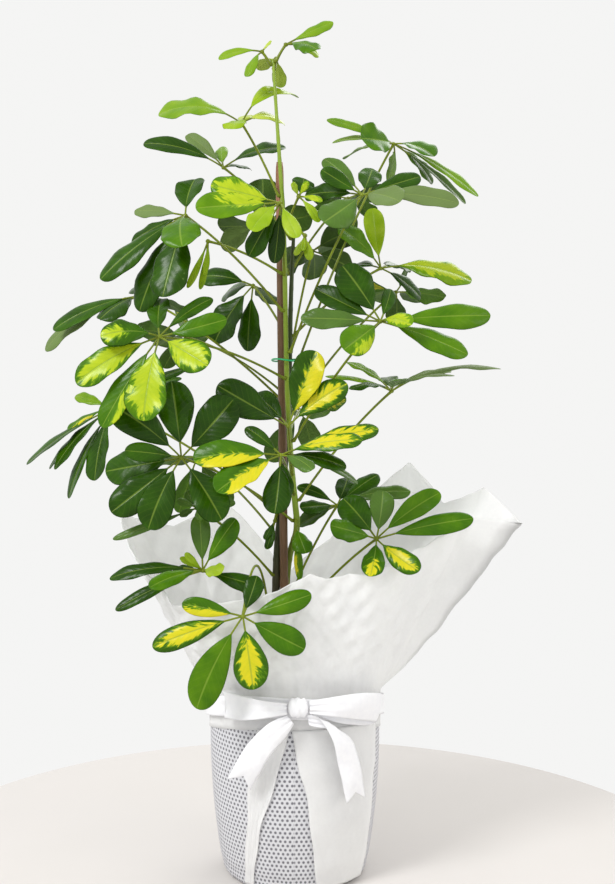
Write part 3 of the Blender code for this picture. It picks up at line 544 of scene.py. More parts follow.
# Each leaf: its stem, the height of its root on it, its hub, the bearing and the rise of its upper
# side, the looks of its leaflets, a letter for each, and the leaflets as (right, back, up, width,
# bend in degrees), all in millimetres
leaves = {
    "crown_left": ("tall", 800, (-33, -2, 813), (-30, 35), "oop", (
        (-43, -6, -9, 13, 50), (-14, -20, -30, 13, 40), (9, 3, 12, 6, 10))),
    "crown_right": ("tall", 803, (-9, -6, 819), (15, 30), "ogl", (
        (47, 2, 23, 15, 25), (31, -26, -12, 26, 35), (33, 22, -5, 15, 60))),
    "crown_back": ("tall", 796, (-19, 6, 808), (150, 50), "pp", (
        (3, 22, -24, 17, 45), (-20, 28, -4, 14, 40))),
    "top_left": ("tall", 668, (-53, -10, 740), (-20, 40), "olplp", (
        (-81, -12, 6, 32, 90), (-6, -30, -12, 24, 60), (8, 30, 14, 18, 30),
        (54, 46, 36, 26, 110), (41, 32, 6, 24, 80))),
    "upper_left": ("second", 628, (-74, 38, 704), (-15, 42), "duodd", (
        (-82, -4, 24, 22, 45), (-40, 22, 38, 16, 15), (-4, 34, 28, 14, 20),
        (64, 6, 22, 26, 50), (22, 42, 6, 22, 30))),
    "left_shoulder": ("tall", 554, (-104, -58, 642), (-15, 35), "duddddg", (
        (6, 34, 40, 30, 20), (-52, 26, 8, 16, 30), (-53, 12, -24, 18, 20), (-79, -12, -62, 30, 20),
        (-43, -6, -92, 33, 20), (-18, -32, -80, 38, 20), (3, -58, -36, 38, 40))),
    "young_left": ("tall", 591, (-85, -26, 621), (0, 10), "lll", (
        (-3, -4, -33, 6, 8), (-8, 3, -47, 7, 8), (-20, -2, -46, 7, 8))),
    "front_upper": ("tall", 590, (-13, -72, 652), (0, 25), "LTlldk", (
        (-65, -8, 16, 30, 25), (-78, -22, -8, 32, 20), (-26, -32, -30, 22, 20),
        (16, -26, -36, 16, 15), (-30, 6, -50, 22, 20), (-6, 10, -56, 16, 20))),
    "young_front": ("tall", 632, (4, -38, 663), (10, 25), "VlVld", (
        (23, -4, -5, 8, 15), (20, -10, -26, 10, 15), (9, -6, 14, 7, 10), (-6, -6, 13, 7, 10),
        (5, 14, 20, 23, 20))),
    "back_upper": ("second", 592, (-39, 52, 646), (170, 40), "dudkk", (
        (4, 20, 52, 38, 20), (-38, -6, -23, 26, 20), (56, -24, 8, 32, 25), (10, 66, 4, 30, 30),
        (-44, 44, 4, 28, 25))),
    "back_centre": ("second", 513, (18, 76, 622), (-170, 30), "kkkddd", (
        (-30, -34, -20, 30, 20), (42, -22, -22, 30, 20), (42, -32, 16, 34, 25), (34, 60, 8, 30, 25),
        (-30, 60, -6, 30, 25), (2, 72, -24, 30, 25))),
    "young_centre": ("tall", 640, (10, -14, 628), (0, 10), "lll", (
        (-10, -4, -20, 7, 8), (5, -6, -25, 9, 8), (-2, -8, -16, 6, 8))),
    "upper_centre_left": ("second", 528, (-44, 46, 583), (-15, 35), "ddddd", (
        (-56, 12, 10, 28, 45), (-39, -10, -60, 38, 20), (-6, 6, -68, 26, 20), (20, 62, -16, 28, 25),
        (-34, 58, -6, 28, 25))),
    "left_middle": ("tall", 487, (-124, -97, 525), (-8, 22), "gddYLSLL", (
        (62, -2, 16, 21, 45), (47, 24, 37, 14, 30), (-3, 36, 37, 22, 15), (-52, -16, 0, 28, 50),
        (-74, -16, -43, 28, 15), (-51, -14, -83, 26, 15), (-12, -22, -77, 40, 15),
        (47, -30, -27, 32, 20))),
    "far_left_upper": ("second", 462, (-160, 40, 572), (-35, 42), "uddddk", (
        (-100, 8, -56, 28, 55), (-86, -20, -36, 26, 45), (-36, -34, -26, 32, 25), (-8, 36, 13, 24, 20),
        (40, 52, -16, 26, 25), (-46, 58, -20, 26, 25))),
    "far_left_lower": ("second", 352, (-188, 34, 456), (-40, 50), "odddddSdd", (
        (-42, 24, 13, 14, 35), (-90, 8, -58, 20, 25), (-72, 34, -64, 18, 25), (-58, -8, -62, 20, 25),
        (-44, -6, -92, 24, 25), (-13, -30, -72, 32, 25), (-38, -40, -20, 12, 20),
        (78, 32, 43, 18, 30), (70, 12, 31, 14, 30))),
    "left_low_front": ("tall", 345, (-106, -76, 412), (0, 15), "dddddddd", (
        (-10, 8, 72, 36, 15), (-65, -8, 50, 33, 15), (-50, -22, 8, 18, 30), (-74, 16, -14, 34, 20),
        (-64, -12, -50, 32, 15), (-29, -16, -65, 33, 15), (39, -14, -57, 33, 20),
        (49, 0, 55, 38, 20))),
    "small_left": ("second", 290, (-93, -58, 363), (0, 30), "mmmmmm", (
        (-78, -14, -28, 9, 25), (-18, -8, 8, 8, 15), (-10, 6, 16, 10, 15), (-15, -10, -7, 8, 15),
        (5, -12, -10, 8, 15), (36, 12, 4, 9, 20))),
    "centre_front": ("tall", 372, (-12, -102, 416), (0, 45), "EEHHdmmddd", (
        (-79, -16, -2, 30, 55), (-56, -42, -30, 32, 30), (90, 2, 24, 24, 40), (74, -22, 15, 22, 40),
        (60, -6, -11, 18, 35), (29, -34, -11, 16, 25), (72, 26, -28, 12, 40),
        (-5, -26, -51, 26, 15), (6, -8, -38, 16, 15), (-33, 12, 25, 14, 20))),
    "centre_upright": ("tall", 392, (-6, -58, 441), (0, 30), "dWHd", (
        (-67, -8, 39, 34, 55), (26, 2, 72, 32, 15), (56, -4, 41, 26, 15), (-34, 34, 30, 24, 25))),
    "right_middle": ("tall", 425, (82, -58, 541), (10, 25), "ddmSVggd", (
        (-36, 10, 54, 36, 20), (-62, 16, 32, 22, 25), (-76, -4, 3, 22, 30), (-36, -36, -28, 30, 25),
        (27, -34, -5, 20, 50), (106, 6, 6, 26, 55), (82, -12, -32, 26, 40), (12, 30, 33, 14, 15))),
    "right_level": ("tall", 366, (95, -22, 474), (0, 80), "uuuoodmm", (
        (108, 2, 22, 20, 50), (62, 34, 21, 18, 40), (58, -34, 15, 18, 45), (-43, 24, 29, 18, 40),
        (-65, 6, 15, 18, 35), (-42, -30, 2, 16, 60), (-2, 52, 14, 20, 25), (8, -56, 12, 20, 25))),
    "right_top": ("second", 488, (103, 62, 733), (30, 32), "ogooogmom", (
        (-70, 12, 28, 14, 25), (-36, -40, -2, 36, 30), (-64, 26, 6, 12, 40), (-50, 46, -8, 24, 35),
        (-4, 50, -32, 34, 30), (40, -26, -18, 32, 40), (42, 12, -40, 22, 30), (88, -6, -56, 18, 25),
        (78, 20, -60, 14, 25))),
    "right_upper": ("tall", 513, (66, -28, 666), (0, 32), "mdmdduud", (
        (-37, 26, 40, 20, 15), (-40, 2, 25, 20, 15), (-38, -34, -31, 34, 20), (12, 36, 32, 24, 15),
        (58, 12, 20, 21, 25), (94, -6, -9, 22, 30), (34, -44, -13, 32, 30), (-56, 30, 4, 22, 20))),
    "right_bright": ("second", 530, (88, 36, 600), (5, 45), "Vdlgdd", (
        (92, -12, -14, 36, 60), (43, 20, -29, 22, 25), (-8, 16, 64, 22, 20), (-44, -14, 41, 32, 20),
        (30, 66, 4, 26, 30), (-30, 62, 6, 26, 30))),
    "low_right_small": ("tall", 268, (43, 27, 357), (-10, 50), "ddmddmu", (
        (-41, 6, 19, 14, 35), (12, 36, 26, 22, 15), (74, -10, 15, 20, 30), (43, 22, 30, 22, 25),
        (-38, -16, -1, 20, 20), (-40, -4, -20, 20, 25), (-28, 24, -12, 16, 15))),
    "low_right": ("tall", 236, (79, -46, 332), (0, 30), "ggHYgdmu", (
        (62, 8, 44, 22, 15), (93, -2, 20, 22, 25), (38, -34, -26, 22, 25), (-8, -40, -30, 22, 20),
        (-45, -18, 15, 24, 20), (-32, 12, 38, 30, 15), (7, 16, 45, 24, 15), (-26, 36, 38, 20, 20))),
    "low_left": ("second", 250, (-87, -62, 304), (-10, 45), "mgddgllldd", (
        (-4, 8, 53, 19, 15), (32, -8, 50, 24, 15), (-88, -4, -7, 16, 50), (-80, -20, -34, 14, 30),
        (-46, -38, -10, 20, 35), (-16, -12, 18, 8, 15), (-22, 4, 12, 7, 15), (20, -26, 2, 18, 30),
        (59, -14, -14, 18, 35), (-32, 20, -6, 14, 25))),
    "front_low": ("second", 212, (-46, -118, 271), (-5, 18), "EHgHggd", (
        (-55, -2, 12, 17, 15), (-81, -8, -26, 22, 15), (-42, 1, -84, 32, 15), (10, -10, -64, 32, 15),
        (56, -8, -28, 26, 20), (62, 0, 20, 20, 20), (12, 18, 34, 18, 15))),
    "base_right": ("tall", 345, (1, -9, 340), (10, 30), "gS", (
        (10, -22, -24, 20, 25), (4, -10, -52, 9, 10))),
    "base_left": ("second", 352, (-20, 3, 344), (-30, 30), "dd", (
        (-10, -8, -18, 9, 15), (-8, -12, -27, 10, 15))),
    "back_high": ("second", 600, (56, 92, 680), (175, 45), "dmdgdm", (
        (44, 28, 8, 26, 30), (14, 52, 2, 28, 30), (-34, 38, 0, 26, 30), (-38, -4, -16, 22, 25),
        (30, -14, -26, 22, 25), (0, 44, -36, 26, 30))),
    "back_left": ("second", 470, (-120, 108, 532), (200, 40), "dmdYd", (
        (-56, 22, 8, 28, 30), (-36, 54, -8, 28, 30), (20, 58, 0, 28, 30), (-8, 34, 34, 24, 30),
        (-26, 20, -34, 22, 25))),
    "back_middle": ("second", 420, (4, 128, 452), (180, 40), "dmgHdm", (
        (-60, 20, 8, 28, 30), (-30, 58, -4, 30, 30), (30, 58, -8, 30, 30), (52, 18, 10, 28, 30),
        (-34, -6, -56, 28, 20), (12, 22, -44, 26, 20))),
    "back_low_left": ("second", 330, (-106, 92, 402), (210, 40), "mdEdgd", (
        (-60, 20, -10, 26, 30), (-30, 56, -12, 28, 30), (28, 58, -4, 28, 30), (62, 14, 6, 24, 30),
        (-20, 4, -60, 26, 20), (34, 26, -54, 26, 25))),
    "back_right": ("second", 452, (108, 100, 580), (150, 40), "gdmHdd", (
        (56, 26, -4, 26, 30), (30, 56, -8, 28, 30), (-26, 56, -4, 28, 30), (-54, 10, 8, 24, 30),
        (14, 30, 32, 24, 25), (2, 34, -34, 24, 25))),
}

# letter: shade from dark green to lime, bloom, size of the yellow patch, its place along, its place across.
# The dark letters k and d are partly painted shade, for leaflets that lie behind or under others
leafKinds = {
    "k": (0.10, 0.0, -2, 0, 0), "d": (0.24, 0.0, -2, 0, 0), "m": (0.36, 0.35, -2, 0, 0),
    "g": (0.44, 0.0, -2, 0, 0), "o": (0.64, 0.1, -2, 0, 0), "l": (0.82, 0.0, -2, 0, 0),
    "p": (0.96, 0.1, -2, 0, 0), "u": (0.34, 0.95, -2, 0, 0),
    "H": (0.34, 0.0, 0.62, 0.52, 0), "E": (0.36, 0.0, 0.70, 0.50, "low"),
    "T": (0.48, 0.0, 0.62, 0.22, "high"), "Y": (0.34, 0.0, 0.55, 0.92, 0),
    "S": (0.44, 0.0, 0.42, 0.55, "low"), "V": (0.62, 0.0, 0.75, 0.45, 0),
    "W": (0.28, 0.0, 0.95, 0.55, "right"), "L": (0.42, 0.0, 0.80, 0.45, 0),
}
limePatched = ("left_middle", "right_bright", "front_upper", "young_front", "right_middle")
leafShape = {
    "rows": 22, "stalkRows": 5, "stalkShare": 0.20, "stalkRadius": 0.8 * mm, "halfThickness": 0.30 * mm,
    "hubRadius": 2.4 * mm, "petioleRadius": 1.2 * mm, "gap": 0.4 * mm,
    "across": (-1, -0.93, -0.66, -0.34, -0.09, 0, 0.09, 0.34, 0.66, 0.93, 1),
    "bulge": 0.05, "archedBulge": 0.50, "arched": ("front_low",),
    # least and most of a leaflet's roll, keel, curl, ripples, their start, sway and the seed of its patch
    "least": (-0.16, 0.10, 0.08, 0.03, 0, -0.04, 0), "most": (0.16, 0.34, 0.42, 0.15, 6.28, 0.04, 9),
}


def faceVector(bearing, rise):
    b, r = math.radians(bearing), math.radians(rise)
    return np.array([math.sin(b) * math.cos(r), -math.cos(b) * math.cos(r), math.sin(r)])


def leafletSkin(hub, leaflet, face, letter, draw, seedStart):
    # centre line: hub + direction u L + normal (cos(bend (u - 1/2)) - cos(bend / 2)) / bend L.
    # half width: W v^0.9 (1 - v)^0.5 over its own maximum, v from the end of the stalk to the tip.
    # height over the centre line at t across: width (keel |t| - curl |t|^3) + wave t^2 sin(...), the two
    # sides of the blade half a thickness sqrt(1 - t^2) apart on either side of it
    s = leafShape
    reach = np.array(leaflet[:3]) * mm
    length = np.linalg.norm(reach)
    direction = reach / length
    bend = max(math.radians(leaflet[4]), 0.02)
    roll, keel, curl, ripples, phase, sway, seed = draw.uniform(s["least"], s["most"])
    normal = unit(face - face.dot(direction) * direction)
    side = np.cross(direction, normal)
    side, normal = (math.cos(roll) * side + math.sin(roll) * normal,
                    math.cos(roll) * normal - math.sin(roll) * side)

    v = (1 - np.cos(math.pi * np.linspace(0, 1, s["rows"]))) / 2
    u = np.concatenate([np.linspace(0, s["stalkShare"], s["stalkRows"] + 1)[:-1],
                        s["stalkShare"] + (1 - s["stalkShare"]) * v])
    v = np.concatenate([np.zeros(s["stalkRows"]), v])
    half = leaflet[3] * mm / 2 * v**0.9 * (1 - v) ** 0.5 / (0.6429**0.9 * 0.3571**0.5)
    stalk = s["stalkRadius"] * (1 - v) ** 2
    width = np.sqrt(half**2 + stalk**2) + 0.0001
    thick = np.sqrt((s["halfThickness"] * (1 - v**8)) ** 2 + stalk**2)
    angle = bend * (u - 0.5)
    arch = (np.cos(angle) - math.cos(bend / 2)) / bend * length
    centre = (hub + direction * (u * length)[:, None] + normal * arch[:, None]
              + side * (sway * length * 4 * u * (1 - u))[:, None])
    # square to the bent line
    lifted = normal * np.cos(angle)[:, None] + direction * np.sin(angle)[:, None]

    t = np.array(s["across"], float)
    ring = np.concatenate([t, t[-2:0:-1]])
    sign = np.concatenate([np.ones(len(t)), -np.ones(len(t) - 2)])
    wave = ripples * np.sin(2 * math.pi * 2.4 * v[:, None] + phase + np.where(ring > 0, 2.1, 0.0))
    form = half[:, None] * (keel * np.abs(ring) - curl * np.abs(ring) ** 3 + wave * ring**2)
    rise = form + sign * thick[:, None] * np.sqrt(1 - ring**2)
    rings = (centre[:, None] + side * (width[:, None] * ring)[..., None]
             + lifted[:, None] * rise[..., None])

    toneAndShade, bloom, size, alongAt, acrossAt = leafKinds[letter]
    low = -1 if side[2] > 0 else 1
    right = 1 if side[0] > 0 else -1
    acrossAt = {"low": 0.75 * low, "high": -0.5 * low, "right": 0.8 * right}.get(acrossAt, acrossAt)
    toneAndShade = toneAndShade + draw.uniform(-0.04, 0.04)
    along = np.where(v > 0, v, -1.0)
    around = np.concatenate([t, t[-2:0:-1], t[:1]]) / 2 + 0.5
    signs = np.repeat([1.0, -1.0], len(t) - 1)
    return closedSkin(rings, along, around, signs,
                      [(toneAndShade, bloom, size), (alongAt, acrossAt, seed + seedStart)])


def addLeaf(name, spec, number):
    stemName, root, hub, facing, letters, leaflets = spec
    s, stem = leafShape, stems[stemName]
    draw = np.random.default_rng(100 + number)
    hub = np.array(hub) * mm
    table = np.array(stem["points"], float)
    centre = np.array([np.interp(root, table[:, 2], table[:, axis]) for axis in range(3)]) * mm
    share = (root - table[0, 2]) / (table[-1, 2] - table[0, 2])
    thick, thin = stem["radii"]
    stemRadius = (thick + (thin - thick) * share) * mm
    outward = unit((hub - centre) * (1, 1, 0))
    start = centre + outward * (stemRadius + 1.3 * mm + s["gap"])
    # petiole: a straight line lifted by 4 t (1 - t) bulge times its length, thicker at the stem
    bulge = s["archedBulge"] if name in s["arched"] else s["bulge"]
    t = np.linspace(0, 1, 26)[:, None]
    lift = np.array([0, 0, bulge * np.linalg.norm(hub - start)])
    path = start + t * (hub - start) + 4 * t * (1 - t) * lift
    path = np.concatenate([(centre + outward * stemRadius * 0.6)[None], path])
    run = lengthAlong(path)
    radii = s["petioleRadius"] * (1 + 0.9 * np.exp(-run / 0.006) + 0.35 * np.exp(-(run[-1] - run) / 0.004))
    hint = np.eye(3)[np.argmin(np.abs(hub - start))]
    calm = [(0.5, 0.0, -2), (0, 0, 0)]
    skins = [closedSkin(tubeRings(path, radii, 8, hint), np.full(len(path), -1.0), None, None, calm)]
    # hub: a small ball, flattened a little along the leaf's upper side
    tilt = np.linspace(0.15, math.pi - 0.15, 8)
    face = faceVector(*facing)
    poles = hub + 0.8 * s["hubRadius"] * np.cos(tilt)[:, None] * face
    skins.append(closedSkin(tubeRings(poles, s["hubRadius"] * np.sin(tilt), 10, (0.31, 0.2, 0.93)),
                            np.full(8, -1.0), None, None, calm))
    seedStart = 20 if name in limePatched else 0
    skins += [leafletSkin(hub, leaflet, face, letter, draw, seedStart)
              for leaflet, letter in zip(leaflets, letters, strict=True)]
    putPiece("foliage_" + name, joinSkins(skins), waxyLeaf, ["leaf_" + name],
             ("leafLook", "leafPatch"))


for number, (name, spec) in enumerate(leaves.items()):
    addLeaf(name, spec, number)
print("leaves built:", len(leaves))


pot = {"soilTop": 0.138, "soilRadius": 0.0745, "soilFoot": 0.0565, "soilFloor": 0.0040, "grains": 70}


def addSoil(p):
    # turned from a profile; the top is raised and sunk by ripples of 7 to 30 mm and stays inside the pot
    top, foot, wide = p["soilTop"], p["soilFoot"], p["soilRadius"]
    profile = np.array([(0.0006, p["soilFloor"]), (foot, p["soilFloor"]), (foot + 0.0004, 0.006),
                        (wide, top - 0.006), (wide - 0.002, top - 0.003)]
                       + [(radius, top) for radius in np.linspace(wide - 0.005, 0.0006, 30)])
    angle = 2 * math.pi * np.arange(110) / 110
    rings = together(profile[:, :1] * np.cos(angle), profile[:, :1] * np.sin(angle), profile[:, 1:])
    bumps = ripple(rings[..., :2], (((33, 20), 1.1), ((-41, 47), 0.9), ((90, -35), 0.6), ((70, 105), 0.5),
                                    ((-140, 60), 0.4), ((20, 150), 0.35)), 7) * mm
    rings[..., 2] += bumps * np.clip((rings[..., 2] - top + 0.006) / 0.006, 0, 1)
    putPiece("soil_surface", closedSkin(rings, profile[:, 1]), dampPeat, ["potting_soil"])
    # pale grains of perlite, small round lumps of 24 faces, scattered over the top
    draw = np.random.default_rng(11)
    skins = []
    for grain in range(p["grains"]):
        spread = math.sqrt(draw.uniform(0.02, 1)) * (wide - 0.010)
        turn, size = draw.uniform(0, 6.28), draw.uniform(0.7, 1.5) * mm
        middle = np.array([spread * math.cos(turn), spread * math.sin(turn), top + 0.0012])
        tilt = np.array([0.5, 1.3, 2.0, 2.7])
        path = middle + size * np.cos(tilt)[:, None] * np.array([0, 0, 1.0])
        skins.append(closedSkin(tubeRings(path, size * np.sin(tilt) * draw.uniform(0.8, 1.2, 4), 6), tilt))
    putPiece("perlite_grains", joinSkins(skins), paleGrain)


addSoil(pot)
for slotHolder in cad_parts["nursery_pot"].material_slots:
    slotHolder.material = mouldedPlastic
print("soil built")


wrap = {
    "profile": ((0.0006, 0.0), (0.050, 0.0), (0.066, 0.0004), (0.0705, 0.0040), (0.0722, 0.012),
                (0.075, 0.024), (0.081, 0.070), (0.084, 0.120), (0.084, 0.168)),
    "wall": 0.0006, "round": 0.52, "flat": (0.56, 0.20), "around": 240,
    # waves: (turns round the pot, turns upwards), size in mm
    "puckers": (((9, 0.3), 0.35), ((16, -0.5), 0.25), ((31, 1.0), 0.15)),
}
tissue = {
    "neck": 0.0845, "aboveBand": 0.015, "belowBand": 0.022, "wall": 0.0007, "flat": (0.50, 0.38),
    # bearing round the pot in degrees (0 front, 90 right), radius and height of the rim
    "rim": ((8, 0.099, 0.308), (18, 0.095, 0.301), (41, 0.099, 0.303), (75, 0.132, 0.325),
            (87, 0.174, 0.350), (90, 0.227, 0.342), (93, 0.192, 0.378), (111, 0.165, 0.356),
            (134, 0.172, 0.396), (162, 0.120, 0.312), (186, 0.096, 0.276), (214, 0.132, 0.352),
            (240, 0.150, 0.330), (268, 0.176, 0.352), (288, 0.160, 0.312), (306, 0.138, 0.276),
            (334, 0.114, 0.282), (352, 0.104, 0.292)),
    # bearings of each flap's edges at its top and at its bottom
    "flaps": (((-24, -3), (-40, -33)), ((-1, 66), (18, 62))),
    "flapTop": 0.158, "flapBottom": 0.004,
    "laps": ((-1, 25, 2.5), (78, 20, 3.0), (228, 30, 3.0), (318, 20, 2.0)),   # bearing, reach, height in mm
    "around": 300, "rows": 70,
    # waves of the collar and the flaps: (turns round or across, turns up), size in mm
    "gathers": (((38, 0.4), 0.6), ((57, -0.6), 0.45), ((83, 0), 0.25)),
    "footGathers": (((38, 0), 0.22), ((57, 0), 0.16)),
    "folds": (((7, 0.10), 2.2), ((12, -0.15), 1.5), ((19, 0.2), 1.1)),
    "crumples": (((23, 3.1), 0.7), ((-31, 4.3), 0.6), ((11, -6.2), 0.6), ((47, 7.7), 0.35)),
    "flapCrumples": (((3.3, 0.8), 0.5), ((-2.1, 2.9), 0.4), ((1.2, 5.3), 0.35), ((5.9, -3.7), 0.3)),
    "flapEdges": (((1.3,), 0.9), ((2.9,), 0.5)),   # their wander in degrees
}
band = {
    "middle": 0.162, "tilt": 0.018, "radius": 0.0879, "width": 0.0195, "wall": 0.0005,
    "flat": (0.022, 0.55),
}


def bearingsRound(count):
    return np.arange(count) * 360 / count


def bandHeight(bearings):
    return band["middle"] + band["tilt"] * np.cos(np.radians(bearings))


def onCircle(bearings, radius, height):
    angle = np.radians(bearings)
    return together(radius * np.sin(angle), -radius * np.cos(angle), height)


def wrapRadius(height):
    radii, heights = np.array(wrap["profile"][3:]).T
    return np.interp(height, heights, radii)


def addDottedWrap(w):
    # turned from its profile, out and back a wall's thickness inside, with soft upright puckers
    outer = smoothCurve([(r, 0, z) for r, z in w["profile"]], 90)[:, (0, 2)]
    outer[:, 0] = np.maximum(outer[:, 0], 0.0006)
    inner = outer[::-1] + ((-w["wall"], 0.0))
    inner[:, 1] = np.maximum(inner[:, 1], w["wall"])
    inner[:, 0] = np.maximum(inner[:, 0], 0.0005)
    profile = np.concatenate([outer, inner])
    bearings = bearingsRound(w["around"])
    turn = together(bearings / 360, profile[:, 1:] * 4)
    pucker = ripple(turn, w["puckers"], 3) * mm
    low = np.exp(-profile[:, 1:] / 0.02) * 1.6   # the folds under the base show as deeper puckers low down
    radius = profile[:, :1] - np.abs(pucker) * (0.5 + low) * np.clip(profile[:, :1] / 0.06, 0, 1)
    rings = onCircle(bearings, np.maximum(radius, 0.0004), profile[:, 1:])
    skin = closedSkin(rings, lengthAlong(profile), np.linspace(0, w["round"], w["around"] + 1))
    piece = putPiece("dotted_paper_wrap", skin, dottedPaper, ["dotted_wrap"])


def addTissue(t):
    # collar: from the neck, height and radius both go to the rim's; folds run out from the neck, close and
    # shallow there, few and deep at the rim, with a fine crumple over all of it
    bearings = bearingsRound(t["around"])
    table = np.array(t["rim"], float)
    keys = np.concatenate([table[:, 0] - 360, table[:, 0], table[:, 0] + 360])
    rimRadius, rimHeight = [np.interp(bearings, keys, np.tile(table[:, column], 3)) for column in (1, 2)]
    neck = bandHeight(bearings)
    share = np.linspace(0, 1, t["rows"])[:, None]
    out = np.interp(share, (0, 0.14, 0.42, 0.72, 1), (0, 0.18, 0.46, 0.74, 1))
    start = neck + t["aboveBand"]
    radius = t["neck"] + out * (rimRadius - t["neck"])
    height = start + share * (rimHeight - start)
    turn = together(bearings / 360, share)
    gather = ripple(turn, t["gathers"], 21) * np.exp(-share / 0.22)
    fold = creases(turn, t["folds"], 22) * share * (1.25 - 0.5 * share)
    crumple = creases(turn, t["crumples"], 23)
    # overlapped edges: the sheet steps out over itself at these bearings and comes back more slowly
    lap = sum(size * np.clip((bearings - at) / 1.5, 0, 1) * np.clip((at + back - bearings) / back, 0, 1)
              for at, back, size in t["laps"]) * np.clip(share * 4, 0, 1)
    push = (gather + fold + crumple * np.clip(share * 3, 0, 1) + lap) * mm
    collar = onCircle(bearings, radius + 0.85 * push, height - 0.35 * push)
    foot = np.linspace(-t["belowBand"], t["aboveBand"], 9)[:-1, None]
    footPush = ripple(together(bearings / 360, foot), t["footGathers"], 21) * mm
    sleeve = onCircle(bearings, t["neck"] + footPush, neck + foot)
    grid = np.concatenate([sleeve, collar])
    along = np.arange(len(grid))[:, None] * 0.003
    skins = [openSkin(grid, along, bearings / 360 * 0.53, wraps=True)]
    for number, (top, bottom) in enumerate(t["flaps"]):
        fall = np.linspace(1, 0, 60)[:, None]   # rows from the foot up, as the collar's are
        spread = np.linspace(0, 1, 40)
        low = np.array(top) + fall * (np.array(bottom) - np.array(top))
        wander = ripple(fall, t["flapEdges"], 31 + number)[:, None]
        bearing = low[:, :1] + spread * (low[:, 1:] - low[:, :1]) + wander * (2 * spread - 1)
        level = t["flapTop"] + fall * (t["flapBottom"] - t["flapTop"])
        rough = creases(together(spread, fall), t["flapCrumples"], 41 + number)
        edge = np.abs(2 * spread - 1) ** 6
        lift = (1.05 + 0.45 * rough + edge * fall) * mm * np.clip(1.52 - fall, 0, 1)
        skins.append(openSkin(onCircle(bearing, wrapRadius(level) + 0.0004 + lift, level),
                              0.2 * (1 - fall), spread * 0.1))
    piece = putPiece("tissue_collar", joinSkins(skins), whiteTissue, ["tissue_wrap"])
    addModifier(piece, "SOLIDIFY", thickness=t["wall"], offset=1.0)


addDottedWrap(wrap)
addTissue(tissue)
print("paper wraps built")


ribbon = {
    "wall": 0.0005, "flatWidth": 0.025,
    # each strip: points along it, the direction of its width at them, its width there, in millimetres
    "strips": {
        "bow_loop_left": (
            ((-6.5, -100, 182), (-30, -101, 182), (-50, -91, 181), (-66, -71, 179), (-59, -71.5, 178),
             (-36, -89, 179), (-7, -94.5, 181)),
            ((0, 0, 1),) * 7, (11, 17, 23, 25, 23, 17, 11), 0.0, 0.130),
        "bow_loop_right": (
            ((14.5, -100, 184), (38, -98, 184), (62, -82, 180), (80, -56, 172), (72, -57, 168),
             (44, -84, 174), (15, -94.5, 182)),
            ((0, 0, 1), (0.1, 0, 1), (0.2, 0, 1), (0.3, 0, 1), (0.3, 0, 1), (0.2, 0, 1), (0, 0, 1)),
            (11, 19, 26, 28, 26, 18, 11), 0.0, 0.160),
        "ribbon_tail_left": (
            ((-3, -98.5, 172), (-15, -100, 163), (-31, -98, 146), (-42, -95, 128), (-51, -91, 110)),
            ((0.8, 0.05, -1), (1, 0.05, -0.9), (1, 0.1, -0.8), (1, 0.1, -0.6), (1, 0.1, -0.55)),
            (10, 20, 23, 24, 24), 0.13, 0.080),
        "ribbon_tail_right": (
            ((13, -98, 172), (32, -93.5, 166), (45, -88, 150), (51, -83, 128), (55, -79, 108),
             (58, -75, 90)),
            ((0.2, 0, -1), (0.8, 0.4, -0.6), (1, 0.6, -0.2), (1, 0.7, 0), (1, 0.75, 0), (1, 0.8, 0)),
            (10, 20, 23, 24, 24, 24), 0.10, 0.092),
    },
    "knot": ((0.004, -0.0975, 0.183), (0.0095, 0.0064, 0.0092)),
}


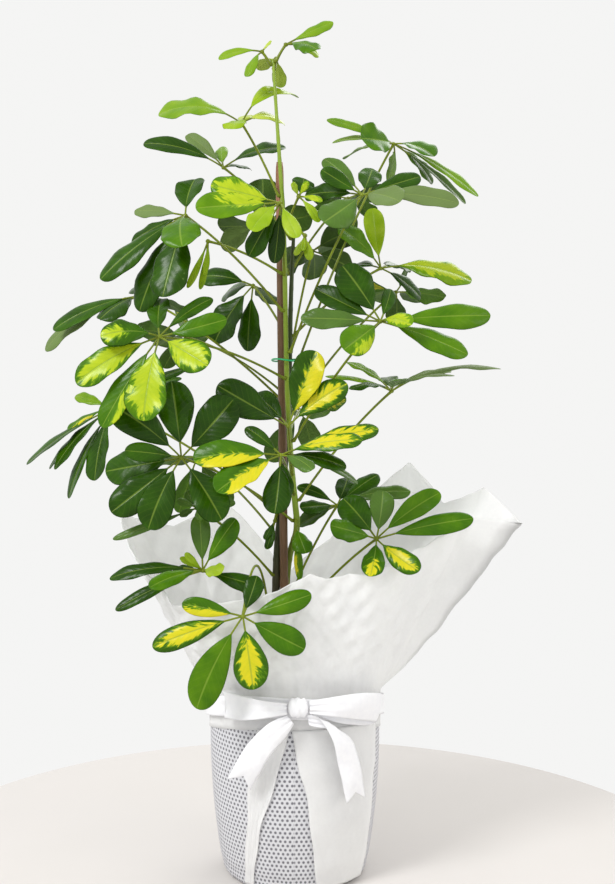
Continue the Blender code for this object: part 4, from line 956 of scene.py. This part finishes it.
def addStrip(name, points, across, widths, notch, cutLength, number):
    # ribbon point = path(s) + across(s) width(s) (c - 1/2) + normal (cup + pleats), with a swallow-tail
    # cut: s = end (1 - notch (1 - |2c - 1|)); the pleats fade away from the knot
    c = np.linspace(0, 1, 13)
    u = np.linspace(0, 1, 90)[:, None]
    last = len(points) - 1
    place = u * last * (1 - notch * (1 - np.abs(2 * c - 1)))
    path = curveAt(points, place) * mm
    wide = unit(curveAt(across, place))
    ahead = unit(np.gradient(path, axis=0))
    normal = unit(np.cross(ahead, wide))
    width = curveAt(np.array(widths, float)[:, None], place)[..., 0] * mm
    walk = np.linalg.norm(path - path[:1], axis=-1)
    back = np.linalg.norm(path - path[-1:], axis=-1) if notch == 0 else 1.0
    nearKnot = np.exp(-np.minimum(walk, back) / 0.014)
    pleat = 1.3 * mm * np.cos(2 * math.pi * 2.5 * c + 0.6) * nearKnot
    soft = ripple(together(u, c), (((1.7, 0.5), 0.5), ((3.1, -0.8), 0.35)), 60 + number) * mm
    cup = 0.07 * width * (1 - (2 * c - 1) ** 2)
    lift = cup + pleat + soft * (1 - nearKnot)
    grid = path + wide * (width * (c - 0.5))[..., None] + normal * lift[..., None]
    piece = putPiece("satin_" + name, openSkin(grid, u * cutLength, c * ribbon["flatWidth"]),
                     whiteSatin, [name])
    addModifier(piece, "SOLIDIFY", thickness=ribbon["wall"], offset=0.0)


def addRibbon(r, b):
    # band round the neck: three soft folds run along it, and it wavers a little up and down
    bearings = bearingsRound(240)
    c = np.linspace(0, 1, 11)[:, None]
    turn = together(bearings / 360, c * 0.5)
    fold = creases(turn, (((2, 5.0), 0.5), ((3, -3.4), 0.4)), 51) * mm
    sway = ripple(turn, (((3, 0), 0.9), ((5, 0), 0.5)), 52) * mm
    height = bandHeight(bearings) + sway + (c - 0.5) * b["width"]
    grid = onCircle(bearings, b["radius"] + 0.0006 + 0.5 * fold, height)
    skin = openSkin(grid, bearings / 360 * b["flat"][1], c * b["width"], wraps=True)
    piece = putPiece("satin_band", skin, whiteSatin, ["ribbon_band"])
    addModifier(piece, "SOLIDIFY", thickness=b["wall"], offset=1.0)
    # knot: rings about the X axis, radius (1 - x^2)^0.35, with pleats across it
    middle, sizes = r["knot"]
    x = np.linspace(-0.985, 0.985, 34)
    angle = 2 * math.pi * np.arange(40) / 40
    swell = (1 - x**2) ** 0.35 * (1 + 0.07 * np.cos(3.2 * math.pi * x + 0.4))
    pinch = 1 + 0.05 * np.cos(2 * angle[None] + 5 * x[:, None])
    swell = swell[:, None] * pinch
    rings = np.array(middle) + together(sizes[0] * x[:, None], sizes[1] * swell * np.cos(angle),
                                        sizes[2] * swell * np.sin(angle))
    putPiece("satin_bow_knot", closedSkin(rings, x * sizes[0], np.linspace(0, 0.05, 41)),
             whiteSatin, ["bow_knot"])
    for number, (name, strip) in enumerate(r["strips"].items()):
        addStrip(name, *strip, number)


addRibbon(ribbon, band)
print("ribbon built")
